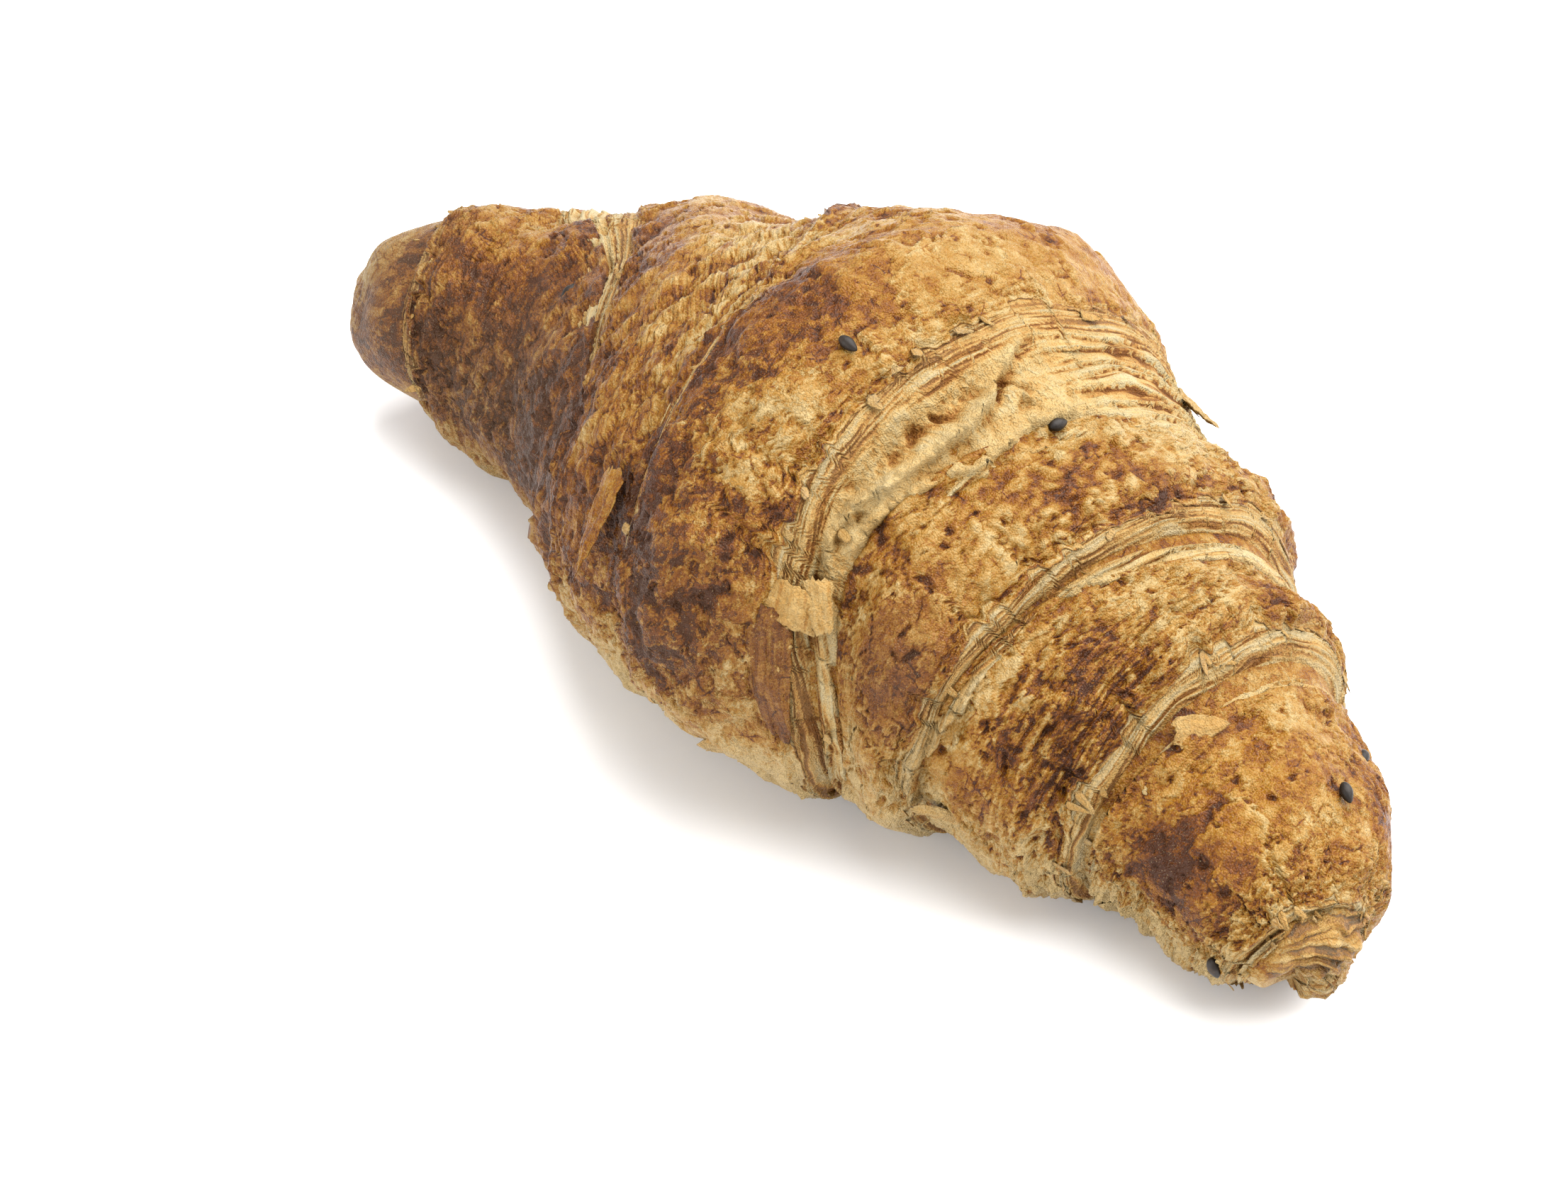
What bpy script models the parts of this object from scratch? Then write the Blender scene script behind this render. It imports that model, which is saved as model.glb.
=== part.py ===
"""A multigrain croissant at its real size, +Z up, near tip at +X. Lengths are in mm, drawn in metres.

It is built as a baker rolls it. One triangle of layered dough is wound on itself, so that its two cut edges
run round the roll as two spirals, from the triangle's point under the front to the two tips. A place on a
spiral is its winding angle in degrees: 0 is the front, 90 the top, 180 the back, and each full turn goes one
layer deeper and further out. Every turn is a strip of crust with a crown, a rim and the sloping cut face that
the rising dough has opened. The turns, the core, loose flakes and seeds are joined into one solid.
"""

import math
from functools import partial

import bmesh
import bpy
import numpy as np
from mathutils import Matrix, Vector

MM = 0.001

# The plain body. Half the width falls off from the middle like a cone with a rounded top.
HALF_LENGTH = 80.0
HALF_WIDTH = 38.0
WIDEST_AT = 2.4
FAR_TAPER, NEAR_TAPER = 0.385, 0.39
TOP_ROUNDING = 3.0
FAR_TIP_WIDTH, NEAR_TIP_WIDTH = 17.0, 17.0
TIP_BLEND = 3.0
HEIGHT_TO_WIDTH = 0.80
FAR_BLUNTNESS, NEAR_BLUNTNESS = 12.0, 7.5
LOWER_SQUARENESS = 2.1
SUNK = 0.9
FAR_TIP_RISE, RISE_FROM = 3.4, -35.0
SWAY_AT = (-80, -48, -16, 16, 48, 64, 80)
SWAY = (-2.8, 7.0, 0.0, -0.5, 0.7, -2.4, -12.2)

# The cut edge of the dough on each half: winding angle in degrees, then place along the roll.
POINT_ANGLE = -75.0
NEAR_EDGE = (
    (-90, 10), (-6, 19), (50, 12), (136, 15), (285, 28), (396, 33), (512, 40), (722, 49), (860, 53.5),
    (1005, 66), (1166, 76.5), (1365, 79),
)
FAR_EDGE = (
    (-90, 5), (0, -4), (86, -13), (120, -23), (285, -24), (396, -27), (467, -51), (645, -59), (724, -63),
    (824, -75), (1005, -79),
)
# How wide the opened cut face shows beside that edge.
NEAR_FACE = (
    (-90, 2), (32, 9), (110, 15), (285, 5), (400, 4), (512, 10), (722, 6), (850, 9.5), (1005, 4), (1365, 2),
)
FAR_FACE = ((-90, 2), (60, 5), (120, 6), (285, 4), (467, 9), (645, 4), (1005, 2))
# How deep that face lies, as a share of its full depth: it has opened less at the back.
NEAR_DEPTH = ((-90, 1.0), (90, 0.9), (140, 0.5), (230, 0.5), (380, 1.0), (1365, 1.0))
FAR_DEPTH = ((-90, 1.0), (400, 1.0), (450, 0.3), (540, 0.3), (620, 1.0), (1005, 1.0))
EDGES = {"near": (NEAR_EDGE, NEAR_FACE, 1, NEAR_DEPTH), "far": (FAR_EDGE, FAR_FACE, -1, FAR_DEPTH)}

# A turn's section, as heights over the plain body.
CREASE_LIFT = -1.0
RIM_LIFT = -0.2
CROWN_MIDDLE = 0.7
CROWN_SIDE = 0.9
UNDER_LIFT = -3.4
DEEP_LIFT, DEEP_AT_TIP = -7.0, -4.0
CORE_LIFT, CORE_TIP_LIFT, TIP_FACE_FROM = -2.2, 0.2, 9.0
# The cut face as (share of its width, height under the rim): ledges, pits and stretched strands.
NEAR_LEDGES = ((0.06, -0.8), (0.38, -1.9), (0.56, -1.0), (0.78, -1.9), (1.0, -1.6))
FAR_LEDGES = ((0.08, -0.6), (0.5, -1.2), (1.0, -1.5))
SWELL = 0.32
DIVE, DIVE_OVER = 1.6, 16.0

# Mesh steps. A full turn has STEPS sections.
STEPS = 58
SKIN_POINTS_MIDDLE = 9
SIDE_TURNS = (("near", 1, 5), ("near", 2, 5), ("near", 3, 6), ("far", 1, 6), ("far", 2, 7))

# Loose flakes: name, place along the roll, angle, length, width, heading, rise of the free end.
FLAKE_THICKNESS = 0.8
FLAKES = (
    ("flap", -10.5, 26, 15.0, 3.6, -78.0, 2.6),
    ("brown_strip", 17.5, 12, 17.0, 4.4, 103.0, 0.6),
    ("pale_scale", 57.0, 57, 5.5, 3.6, 20.0, 0.8),
    ("back_scale", 24.5, 150, 7.0, 3.0, 20.0, 1.4),
    ("torn_lip", 20.0, 32, 6.0, 2.6, -60.0, 1.6),
)
# Seeds in the crust: place along the roll, angle and height over the plain body.
SEED_LENGTH, SEED_WIDTH = 2.4, 1.3
SEEDS = (
    (6, 74, 0.9), (25, 96, -0.6), (65.5, 150, -0.6), (77, 178, 0.2), (70, -6, 0.7), (70, 114, 1.0),
    (-46, 62, 0.6), (-32, 150, 0.4), (44, 205, -0.3), (-10, 230, 0.6),
)

# The middle of the finished box in x and y, which becomes the origin.
BOX_MIDDLE = (-0.37, -1.2)


def through(stations, at):
    """A smooth curve through (place, value) pairs, read at the given places."""
    places, values = np.array(stations, float).T
    slopes = np.gradient(values, places)
    at = np.clip(np.asarray(at, float), places[0], places[-1])
    i = np.clip(np.searchsorted(places, at) - 1, 0, len(places) - 2)
    span = places[i + 1] - places[i]
    u = (at - places[i]) / span
    rise, start, end = values[i + 1] - values[i], slopes[i] * span, slopes[i + 1] * span
    return values[i] + u * (start + u * (3 * rise - 2 * start - end + u * (start + end - 2 * rise)))


def meridian():
    """Distances down the skin from tip to tip, with the x and the narrowing of the tips at each."""
    t = np.sin(np.linspace(-0.5, 0.5, 4001) * math.pi)
    cap = np.sqrt(1 - np.abs(t) ** np.where(t < 0, FAR_BLUNTNESS, NEAR_BLUNTNESS))
    steps = np.hypot(np.diff(HALF_LENGTH * t), NEAR_TIP_WIDTH * np.diff(cap))
    place = np.concatenate([[0], np.cumsum(steps)])
    return place - place[2000], HALF_LENGTH * t, cap


PLACES, XS, CAPS = meridian()


def bulk(x):
    """Half the plain body's width at x, before the tips are rounded off."""
    taper = np.where(x < WIDEST_AT, FAR_TAPER, NEAR_TAPER)
    cone = HALF_WIDTH + TOP_ROUNDING - np.hypot(TOP_ROUNDING, taper * (x - WIDEST_AT))
    tip = np.where(x < 0, FAR_TIP_WIDTH, NEAR_TIP_WIDTH)
    return (cone + tip + np.hypot(cone - tip, TIP_BLEND)) / 2


def skin(place, angle):
    """Points of the plain body, at places along the roll and angles in degrees round it."""
    x, cap = np.interp(place, PLACES, XS), np.interp(place, PLACES, CAPS)
    turned = np.radians(angle)
    across, up = -np.cos(turned), np.sin(turned)
    power = np.where(up < 0, LOWER_SQUARENESS, 2.0)
    width = bulk(x)
    reach = width * cap * (np.abs(across) ** power + np.abs(up) ** power) ** (-1 / power)
    sway = through(tuple(zip(SWAY_AT, SWAY)), x)
    y = sway + across * reach - BOX_MIDDLE[1]
    rise = FAR_TIP_RISE * np.clip((x - RISE_FROM) / (-HALF_LENGTH - RISE_FROM), 0, 1) ** 2
    z = HEIGHT_TO_WIDTH * (width + up * reach) - SUNK + rise
    return np.stack(np.broadcast_arrays(x - BOX_MIDDLE[0], y, z), axis=-1)


def lifted(place, angle, lift):
    """Points a given height over the plain body, square to it."""
    along = skin(place + 0.2, angle) - skin(place - 0.2, angle)
    turned = np.radians(angle)
    zero = np.zeros_like(along[..., 0])
    round_it = np.stack([zero, zero + np.sin(turned), zero + HEIGHT_TO_WIDTH * np.cos(turned)], axis=-1)
    out = np.cross(along, round_it)
    out /= np.linalg.norm(out, axis=-1, keepdims=True)
    return skin(place, angle) + out * np.asarray(lift)[..., None]


def swelling(place, angle):
    """The slow swelling and sinking of the baked dough."""
    turned = np.radians(angle)
    return SWELL * (
        np.sin(place / 5.3 + 2 * turned + 0.4)
        + np.sin(place / -3.9 + 3 * turned + 1.9)
        + 0.7 * np.sin(place / 2.7 + 5 * turned)
    )


def edge(side, winding):
    """Where the cut edge lies along the roll."""
    return float(through(EDGES[side][0], winding))


def face(side, winding):
    """How wide the cut face is."""
    return float(through(EDGES[side][1], winding))


def deep(place):
    """How far under the plain body a turn reaches, less at the small tips."""
    return DEEP_LIFT + (DEEP_AT_TIP - DEEP_LIFT) * np.clip((abs(place) - 45) / 20, 0, 1)


def opened_face(side, winding):
    """(place, lift) of the points down a cut face, from the rim to well under the next turn."""
    start, width, outward = edge(side, winding), face(side, winding), EDGES[side][2]
    strength = (0.6 + 0.4 * min(width / 12, 1)) * float(through(EDGES[side][3], winding))
    ledges = NEAR_LEDGES if side == "near" else FAR_LEDGES
    points = [(start + outward * share * width, RIM_LIFT + drop * strength) for share, drop in ledges]
    under = start + outward * (1.15 * width + 0.5)
    return [*points, (under, UNDER_LIFT), (under + outward, deep(under))]


def side_section(side, count, winding):
    """The closed section of a side turn at one winding angle, as (place, lift) pairs."""
    outward = EDGES[side][2]
    crease = edge(side, winding - 360) + outward * face(side, winding - 360)
    rim = edge(side, winding)
    points = [(crease - outward * 4, deep(crease))]
    for u in np.linspace(-0.2, 1.0, count):
        arch = 1 - (2 * max(u, 0) - 1) ** 2
        lift = CREASE_LIFT + (RIM_LIFT - CREASE_LIFT) * u + (CROWN_SIDE - (CREASE_LIFT + RIM_LIFT) / 2) * arch
        points.append((crease + u * (rim - crease), lift))
    return points + opened_face(side, winding)


def middle_section(winding):
    """The closed section of the outermost turn, which shows from the far edge to the near one."""
    left, right = edge("far", winding), edge("near", winding)
    arch_height = (CROWN_MIDDLE - RIM_LIFT) * min((right - left) / 20, 1)
    points = opened_face("far", winding)[::-1]
    for u in np.linspace(0.0, 1.0, SKIN_POINTS_MIDDLE):
        points.append((left + u * (right - left), RIM_LIFT + arch_height * (1 - (2 * u - 1) ** 2)))
    return points + opened_face("near", winding)


def new_object(name, shape):
    """An object with the shape's mesh, its faces turned outwards."""
    bmesh.ops.recalc_face_normals(shape, faces=shape.faces)
    if shape.calc_volume(signed=True) < 0:
        bmesh.ops.reverse_faces(shape, faces=shape.faces)
    mesh = bpy.data.meshes.new(name)
    shape.to_mesh(mesh)
    shape.free()
    made = bpy.data.objects.new(name, mesh)
    bpy.context.scene.collection.objects.link(made)
    return made


def turn_object(name, section_at, first, last):
    """A turn of dough: its section swept from the first winding angle to the last, closed at both ends."""
    windings = np.linspace(first, last, round((last - first) / 360 * STEPS) + 1)
    sections = [section_at(winding) for winding in windings]
    ring = len(sections[0])
    shape = bmesh.new()
    bmesh.ops.create_grid(shape, x_segments=ring, y_segments=len(windings) - 1, size=1)
    shape.verts.ensure_lookup_table()
    sunk = DIVE * (1 - np.clip(np.minimum(windings - first, last - windings) / DIVE_OVER, 0, 1))
    for row, winding in enumerate(windings):
        place, lift = np.array([*sections[row], sections[row][0]]).T
        height = lift + np.where(lift > UNDER_LIFT, swelling(place, winding) - sunk[row], 0)
        for column, point in enumerate(lifted(place, np.full(len(place), winding), height)):
            shape.verts[row * (ring + 1) + column].co = point * MM
    bmesh.ops.remove_doubles(shape, verts=shape.verts, dist=0.001 * MM)
    bmesh.ops.holes_fill(shape, edges=shape.edges, sides=0)
    return new_object(name, shape)


def core_object():
    """The inner roll that the turns lie on, which shows only as the two blunt tips."""
    shape = bmesh.new()
    bmesh.ops.create_uvsphere(shape, u_segments=32, v_segments=32, radius=1)
    for vert in shape.verts:
        share = 1 - 2 * math.acos(max(-1.0, min(1.0, vert.co.z))) / math.pi
        place = np.array(PLACES[-1] * share)
        angle = np.array(math.degrees(math.atan2(vert.co.y, -vert.co.x)))
        bare = np.clip((TIP_FACE_FROM - PLACES[-1] + abs(place)) / TIP_FACE_FROM, 0, 1)
        lift = CORE_LIFT + (CORE_TIP_LIFT - CORE_LIFT) * bare
        vert.co = lifted(place, angle, lift + swelling(place, angle)) * MM
    return new_object("croissant", shape)


def surface_frame(place, angle, lift):
    """A matrix whose X runs along the roll, Y round it and Z out of it, at a place on the crust."""
    here = lifted(np.array([place]), np.array([angle]), [lift])[0]
    along = Vector(lifted(np.array([place + 1.0]), np.array([angle]), [lift])[0] - here).normalized()
    out = Vector(lifted(np.array([place]), np.array([angle]), [lift + 1.0])[0] - here).normalized()
    round_it = out.cross(along).normalized()
    frame = Matrix((round_it.cross(out), round_it, out)).transposed().to_4x4()
    frame.translation = Vector(here)
    return frame


def flake_object(name, place, angle, length, width, heading, rise):
    """A curled scale of crust, rooted in the surface at one end and standing off it at the other."""
    shape = bmesh.new()
    bmesh.ops.create_cube(shape, size=1)
    long_edges = [e for e in shape.edges if abs((e.verts[0].co - e.verts[1].co).x) > 0.5]
    bmesh.ops.subdivide_edges(shape, edges=long_edges, cuts=4, use_grid_fill=True)
    frame = surface_frame(place, angle, 0.3) @ Matrix.Rotation(math.radians(heading), 4, "Z")
    for vert in shape.verts:
        u = vert.co.x + 0.5
        local = Vector((
            (u - 0.35) * length,
            vert.co.y * width * (1 - 0.45 * u * u),
            vert.co.z * FLAKE_THICKNESS + rise * u * u - 0.1 * width * (2 * vert.co.y) ** 2,
        ))
        vert.co = frame @ local * MM
    return new_object(name, shape)


def seed_object(name, place, angle, lift, turned):
    """A seed half sunk in the crust."""
    shape = bmesh.new()
    bmesh.ops.create_uvsphere(shape, u_segments=6, v_segments=4, radius=0.5)
    frame = surface_frame(place, angle, lift) @ Matrix.Rotation(turned, 4, "Z")
    for vert in shape.verts:
        local = Vector((vert.co.x * SEED_LENGTH, vert.co.y * SEED_WIDTH, vert.co.z * SEED_WIDTH))
        vert.co = frame @ local * MM
    return new_object(name, shape)


def floor_object():
    """A block below the floor, which cuts the flat base."""
    shape = bmesh.new()
    bmesh.ops.create_cube(shape, size=1)
    for vert in shape.verts:
        depth = (vert.co.z - 0.5) * HALF_WIDTH
        vert.co = Vector((vert.co.x * 4 * HALF_LENGTH, vert.co.y * 4 * HALF_WIDTH, depth)) * MM
    return new_object("floor_cutter", shape)


def crust_material():
    """Baked crust: golden brown, half glossy."""
    made = bpy.data.materials.new("crust")
    made.use_nodes = True
    shader = made.node_tree.nodes["Principled BSDF"]
    shader.inputs["Base Color"].default_value = (0.42, 0.19, 0.055, 1.0)
    shader.inputs["Roughness"].default_value = 0.55
    shader.inputs["Metallic"].default_value = 0.0
    return made


def apply_boolean(target, operation, others):
    """Joins the other objects to the target or cuts them from it, in one step, and removes them."""
    group = bpy.data.collections.new("operands")
    bpy.context.scene.collection.children.link(group)
    for other in others:
        bpy.context.scene.collection.objects.unlink(other)
        group.objects.link(other)
    step = target.modifiers.new(operation.lower(), "BOOLEAN")
    step.operation = operation
    step.solver = "EXACT"
    step.operand_type = "COLLECTION"
    step.collection = group
    bpy.context.view_layer.objects.active = target
    bpy.ops.object.modifier_apply(modifier=step.name)
    for other in others:
        bpy.data.objects.remove(other)
    bpy.data.collections.remove(group)


def fill_pockets(made):
    """Takes away the closed pockets that the joins leave inside: every shell but the outer one."""
    shape = bmesh.new()
    shape.from_mesh(made.data)
    shells, seen = [], set()
    for start in shape.verts:
        if start in seen:
            continue
        shell, waiting = [], [start]
        seen.add(start)
        while waiting:
            vert = waiting.pop()
            shell.append(vert)
            for edge_out in vert.link_edges:
                other = edge_out.other_vert(vert)
                if other not in seen:
                    seen.add(other)
                    waiting.append(other)
        shells.append(shell)
    shells.sort(key=len)
    bmesh.ops.delete(shape, geom=[vert for shell in shells[:-1] for vert in shell], context="VERTS")
    shape.to_mesh(made.data)
    shape.free()


def main():
    """Builds the croissant as one solid."""
    for existing in list(bpy.data.objects):
        bpy.data.objects.remove(existing)
    croissant = core_object()
    end = POINT_ANGLE + 360
    parts = [turn_object("turn_middle", middle_section, POINT_ANGLE, end + DIVE_OVER / 2)]
    for side, turn, count in SIDE_TURNS:
        first = POINT_ANGLE + 360 * turn - DIVE_OVER / 2
        last = min(first + 360 + DIVE_OVER, EDGES[side][0][-1][0])
        section_at = partial(side_section, side, count)
        parts.append(turn_object(f"turn_{side}_{turn}", section_at, first, last))
    parts += [flake_object(*flake) for flake in FLAKES]
    parts += [seed_object(f"seed_{i}", *seed, i * 1.3) for i, seed in enumerate(SEEDS)]
    apply_boolean(croissant, "UNION", parts)
    apply_boolean(croissant, "DIFFERENCE", [floor_object()])
    fill_pockets(croissant)
    croissant.data.materials.clear()
    croissant.data.materials.append(crust_material())
    croissant.data.shade_smooth()
    croissant.data.set_sharp_from_angle(angle=math.radians(40))


main()
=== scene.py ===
"""The looks of a multigrain croissant: its crust, its opened flaky faces, strands, flakes and seeds.

Lengths are in millimetres until a mesh is filled, which is in metres. The roll lies along X with its narrower
tip at +X. A place on it is given by its distance along the roll and by its winding angle in degrees: 0 is the
front, 90 the top, 180 the back, and each full turn further is one layer deeper and nearer the tips.
"""

import logging
import math
import sys
from dataclasses import dataclass, fields
from enum import Enum
from typing import Any

import bmesh
import bpy
import numpy as np
from mathutils import Matrix, Vector

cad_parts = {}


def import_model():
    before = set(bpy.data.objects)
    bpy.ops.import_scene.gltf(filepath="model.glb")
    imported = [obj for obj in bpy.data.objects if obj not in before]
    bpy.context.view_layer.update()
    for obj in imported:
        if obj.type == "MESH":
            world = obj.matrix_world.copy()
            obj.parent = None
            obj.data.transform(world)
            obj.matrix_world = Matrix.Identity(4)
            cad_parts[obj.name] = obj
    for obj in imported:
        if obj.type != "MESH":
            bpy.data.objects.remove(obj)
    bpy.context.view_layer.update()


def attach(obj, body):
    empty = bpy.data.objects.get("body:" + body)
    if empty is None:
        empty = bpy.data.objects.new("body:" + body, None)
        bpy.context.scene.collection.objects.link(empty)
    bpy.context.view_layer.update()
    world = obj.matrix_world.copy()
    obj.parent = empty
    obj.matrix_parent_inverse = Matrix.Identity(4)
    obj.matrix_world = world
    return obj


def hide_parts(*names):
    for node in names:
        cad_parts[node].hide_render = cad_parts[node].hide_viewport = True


MM = 0.001
LOG = logging.getLogger("croissant")
MARKS = ("tone", "pale", "across", "run", "lined", "fibrous", "ash", "worn")
Stations = tuple[tuple[float, float], ...]
Triple = tuple[float, float, float]
HeightAndTone = tuple[np.ndarray, np.ndarray]

FULL_TURN = 360.0
GRAIN_TABLE = 256
GRAIN_STRENGTH = 1.4
MERIDIAN_POINTS = 4001
LIGHT_LEVEL = 0.30


class Side(Enum):
    """The two halves of the roll, by the way their cut edge faces along X."""

    FAR = -1
    NEAR = 1


def through(stations: Stations, at: np.ndarray) -> np.ndarray:
    """Reads a smooth curve through (place, value) pairs.

    Args:
        stations: The pairs, in rising order of place.
        at: The places to read it at.

    Returns:
        The value at each place.
    """
    places, values = np.array(stations, float).T
    slopes = np.gradient(values, places)
    at = np.clip(np.asarray(at, float), places[0], places[-1])
    i = np.clip(np.searchsorted(places, at) - 1, 0, len(places) - 2)
    span = places[i + 1] - places[i]
    u = (at - places[i]) / span
    rise, start, end = values[i + 1] - values[i], slopes[i] * span, slopes[i + 1] * span
    return values[i] + u * (start + u * (3 * rise - 2 * start - end + u * (start + end - 2 * rise)))


def creased(noise: np.ndarray) -> np.ndarray:
    """Folds noise into rounded lumps with creases between them, about zero."""
    return np.abs(noise) - 0.2


def step(low: float, high: float, value: np.ndarray) -> np.ndarray:
    """A smooth rise from 0 at low to 1 at high.

    Args:
        low: Where the rise starts.
        high: Where it ends, which may be below low for a fall.
        value: What is compared with them.

    Returns:
        Numbers from 0 to 1.
    """
    u = np.clip((value - low) / (high - low), 0, 1)
    return u * u * (3 - 2 * u)


@dataclass(frozen=True)
class Grain:
    """Repeatable smooth noise in three dimensions, about -0.7 to 0.7, with features about one unit across."""

    seed: int

    def at(self, x: np.ndarray, y: np.ndarray, z: np.ndarray | float = 0.0) -> np.ndarray:
        """Reads the noise.

        Args:
            x: First coordinates, in features.
            y: Second coordinates.
            z: Third coordinates.

        Returns:
            The noise at each point.
        """
        chance = np.random.default_rng(self.seed)
        last = GRAIN_TABLE - 1
        shuffle = chance.permutation(GRAIN_TABLE).astype(np.int32)
        leaning = chance.normal(size=(GRAIN_TABLE, 3)).astype(np.float32)
        leaning /= np.linalg.norm(leaning, axis=1, keepdims=True)
        point = np.stack(np.broadcast_arrays(x, y, z), axis=-1).astype(np.float32)
        cell = np.floor(point).astype(np.int32)
        inside = point - cell
        fade = inside**3 * (inside * (inside * 6 - 15) + 10)
        total = np.zeros(point.shape[:-1], np.float32)
        for corner in range(8):
            offset = np.array([corner & 1, corner >> 1 & 1, corner >> 2], np.int32)
            key = (cell + offset) & last
            pick = shuffle[(shuffle[(shuffle[key[..., 0]] + key[..., 1]) & last] + key[..., 2]) & last]
            weight = np.prod(np.where(offset == 1, fade, 1 - fade), axis=-1)
            total += weight * np.einsum("...i,...i->...", leaning[pick], inside - offset)
        return total * GRAIN_STRENGTH

    def over(self, points: np.ndarray, size: float, octaves: int = 1, gain: float = 0.5) -> np.ndarray:
        """Reads the noise over points in space, with finer and weaker layers added.

        Args:
            points: The points, with x, y and z last.
            size: How far apart the largest features are.
            octaves: How many layers, each half the size of the last.
            gain: How strong each layer is, as a share of the last.

        Returns:
            The noise at each point.
        """
        total, strength, scaled = 0.0, 1.0, points / size
        for _ in range(octaves):
            total = total + strength * self.at(scaled[..., 0], scaled[..., 1], scaled[..., 2])
            strength, scaled = strength * gain, scaled * 2.03 + 11.7
        return total


@dataclass(frozen=True)
class PlainBody:
    """The smooth body that every turn lies on, with the same sizes as the solid."""

    half_length: float = 80.0
    half_width: float = 38.0
    widest_at: float = 2.4
    far_taper: float = 0.385
    near_taper: float = 0.39
    top_rounding: float = 3.0
    tip_width: float = 17.0
    tip_blend: float = 3.0
    height_to_width: float = 0.80
    far_bluntness: float = 12.0
    near_bluntness: float = 7.5
    lower_squareness: float = 2.1
    sunk: float = 0.9
    far_tip_rise: float = 3.4
    rise_from: float = -35.0
    sway: Stations = ((-80, -2.8), (-48, 7.0), (-16, 0.0), (16, -0.5), (48, 0.7), (64, -2.4), (80, -12.2))
    box_middle: tuple[float, float] = (-0.37, -1.2)
    swell: float = 0.32

    def meridian(self) -> tuple[np.ndarray, np.ndarray, np.ndarray]:
        """Distances down the skin from tip to tip, with the x and the narrowing of the tips at each."""
        t = np.sin(np.linspace(-0.5, 0.5, MERIDIAN_POINTS) * math.pi)
        cap = np.sqrt(1 - np.abs(t) ** np.where(t < 0, self.far_bluntness, self.near_bluntness))
        steps = np.hypot(np.diff(self.half_length * t), self.tip_width * np.diff(cap))
        place = np.concatenate([[0], np.cumsum(steps)])
        return place - place[MERIDIAN_POINTS // 2], self.half_length * t, cap

    def bulk(self, x: np.ndarray) -> np.ndarray:
        """Half the body's width at x, before the tips are rounded off."""
        taper = np.where(x < self.widest_at, self.far_taper, self.near_taper)
        cone = self.half_width + self.top_rounding - np.hypot(self.top_rounding, taper * (x - self.widest_at))
        return (cone + self.tip_width + np.hypot(cone - self.tip_width, self.tip_blend)) / 2

    def skin(self, place: np.ndarray, angle: np.ndarray) -> np.ndarray:
        """Points of the plain body.

        Args:
            place: Distances along the roll.
            angle: Angles round it in degrees.

        Returns:
            The points, with x, y and z last.
        """
        places, xs, caps = self.meridian()
        x, cap = np.interp(place, places, xs), np.interp(place, places, caps)
        turned = np.radians(angle)
        across, up = -np.cos(turned), np.sin(turned)
        power = np.where(up < 0, self.lower_squareness, 2.0)
        width = self.bulk(x)
        reach = width * cap * (np.abs(across) ** power + np.abs(up) ** power) ** (-1 / power)
        y = through(self.sway, x) + across * reach - self.box_middle[1]
        tipwards = np.clip((x - self.rise_from) / (-self.half_length - self.rise_from), 0, 1)
        z = self.height_to_width * (width + up * reach) - self.sunk + self.far_tip_rise * tipwards**2
        return np.stack(np.broadcast_arrays(x - self.box_middle[0], y, z), axis=-1)

    def lifted(self, place: np.ndarray, angle: np.ndarray, lift: np.ndarray) -> np.ndarray:
        """Points at a height over the plain body, square to it.

        Args:
            place: Distances along the roll.
            angle: Angles round it in degrees.
            lift: Heights.

        Returns:
            The points, with x, y and z last.
        """
        along = self.skin(place + 0.2, angle) - self.skin(place - 0.2, angle)
        turned = np.radians(angle)
        zero = np.zeros_like(along[..., 0])
        back, up = zero + np.sin(turned), zero + self.height_to_width * np.cos(turned)
        out = np.cross(along, np.stack([zero, back, up], axis=-1))
        out /= np.linalg.norm(out, axis=-1, keepdims=True)
        return self.skin(place, angle) + out * np.asarray(lift)[..., None]

    def swelling(self, place: np.ndarray, angle: np.ndarray) -> np.ndarray:
        """The slow swelling and sinking of the baked dough."""
        turned = np.radians(angle)
        return self.swell * (
            np.sin(place / 5.3 + 2 * turned + 0.4)
            + np.sin(place / -3.9 + 3 * turned + 1.9)
            + 0.7 * np.sin(place / 2.7 + 5 * turned)
        )

    def standing(self, place: float, angle: float, lift: float, heading: float) -> Matrix:
        """A matrix for a small piece on the crust, with X along the roll, Y round it and Z out of it.

        Args:
            place: Distance along the roll.
            angle: Angle round it in degrees.
            lift: Height over the plain body.
            heading: How far the piece is turned about Z, in degrees.

        Returns:
            The matrix, in millimetres.
        """
        at = np.array([place, place + 1.0, place]), np.full(3, angle), np.array([lift, lift, lift + 1.0])
        here, along, out = (Vector(point) for point in self.lifted(*at))
        z = (out - here).normalized()
        y = z.cross(along - here).normalized()
        made = Matrix((y.cross(z), y, z)).transposed().to_4x4()
        made.translation = here
        return made @ Matrix.Rotation(math.radians(heading), 4, "Z")


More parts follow.
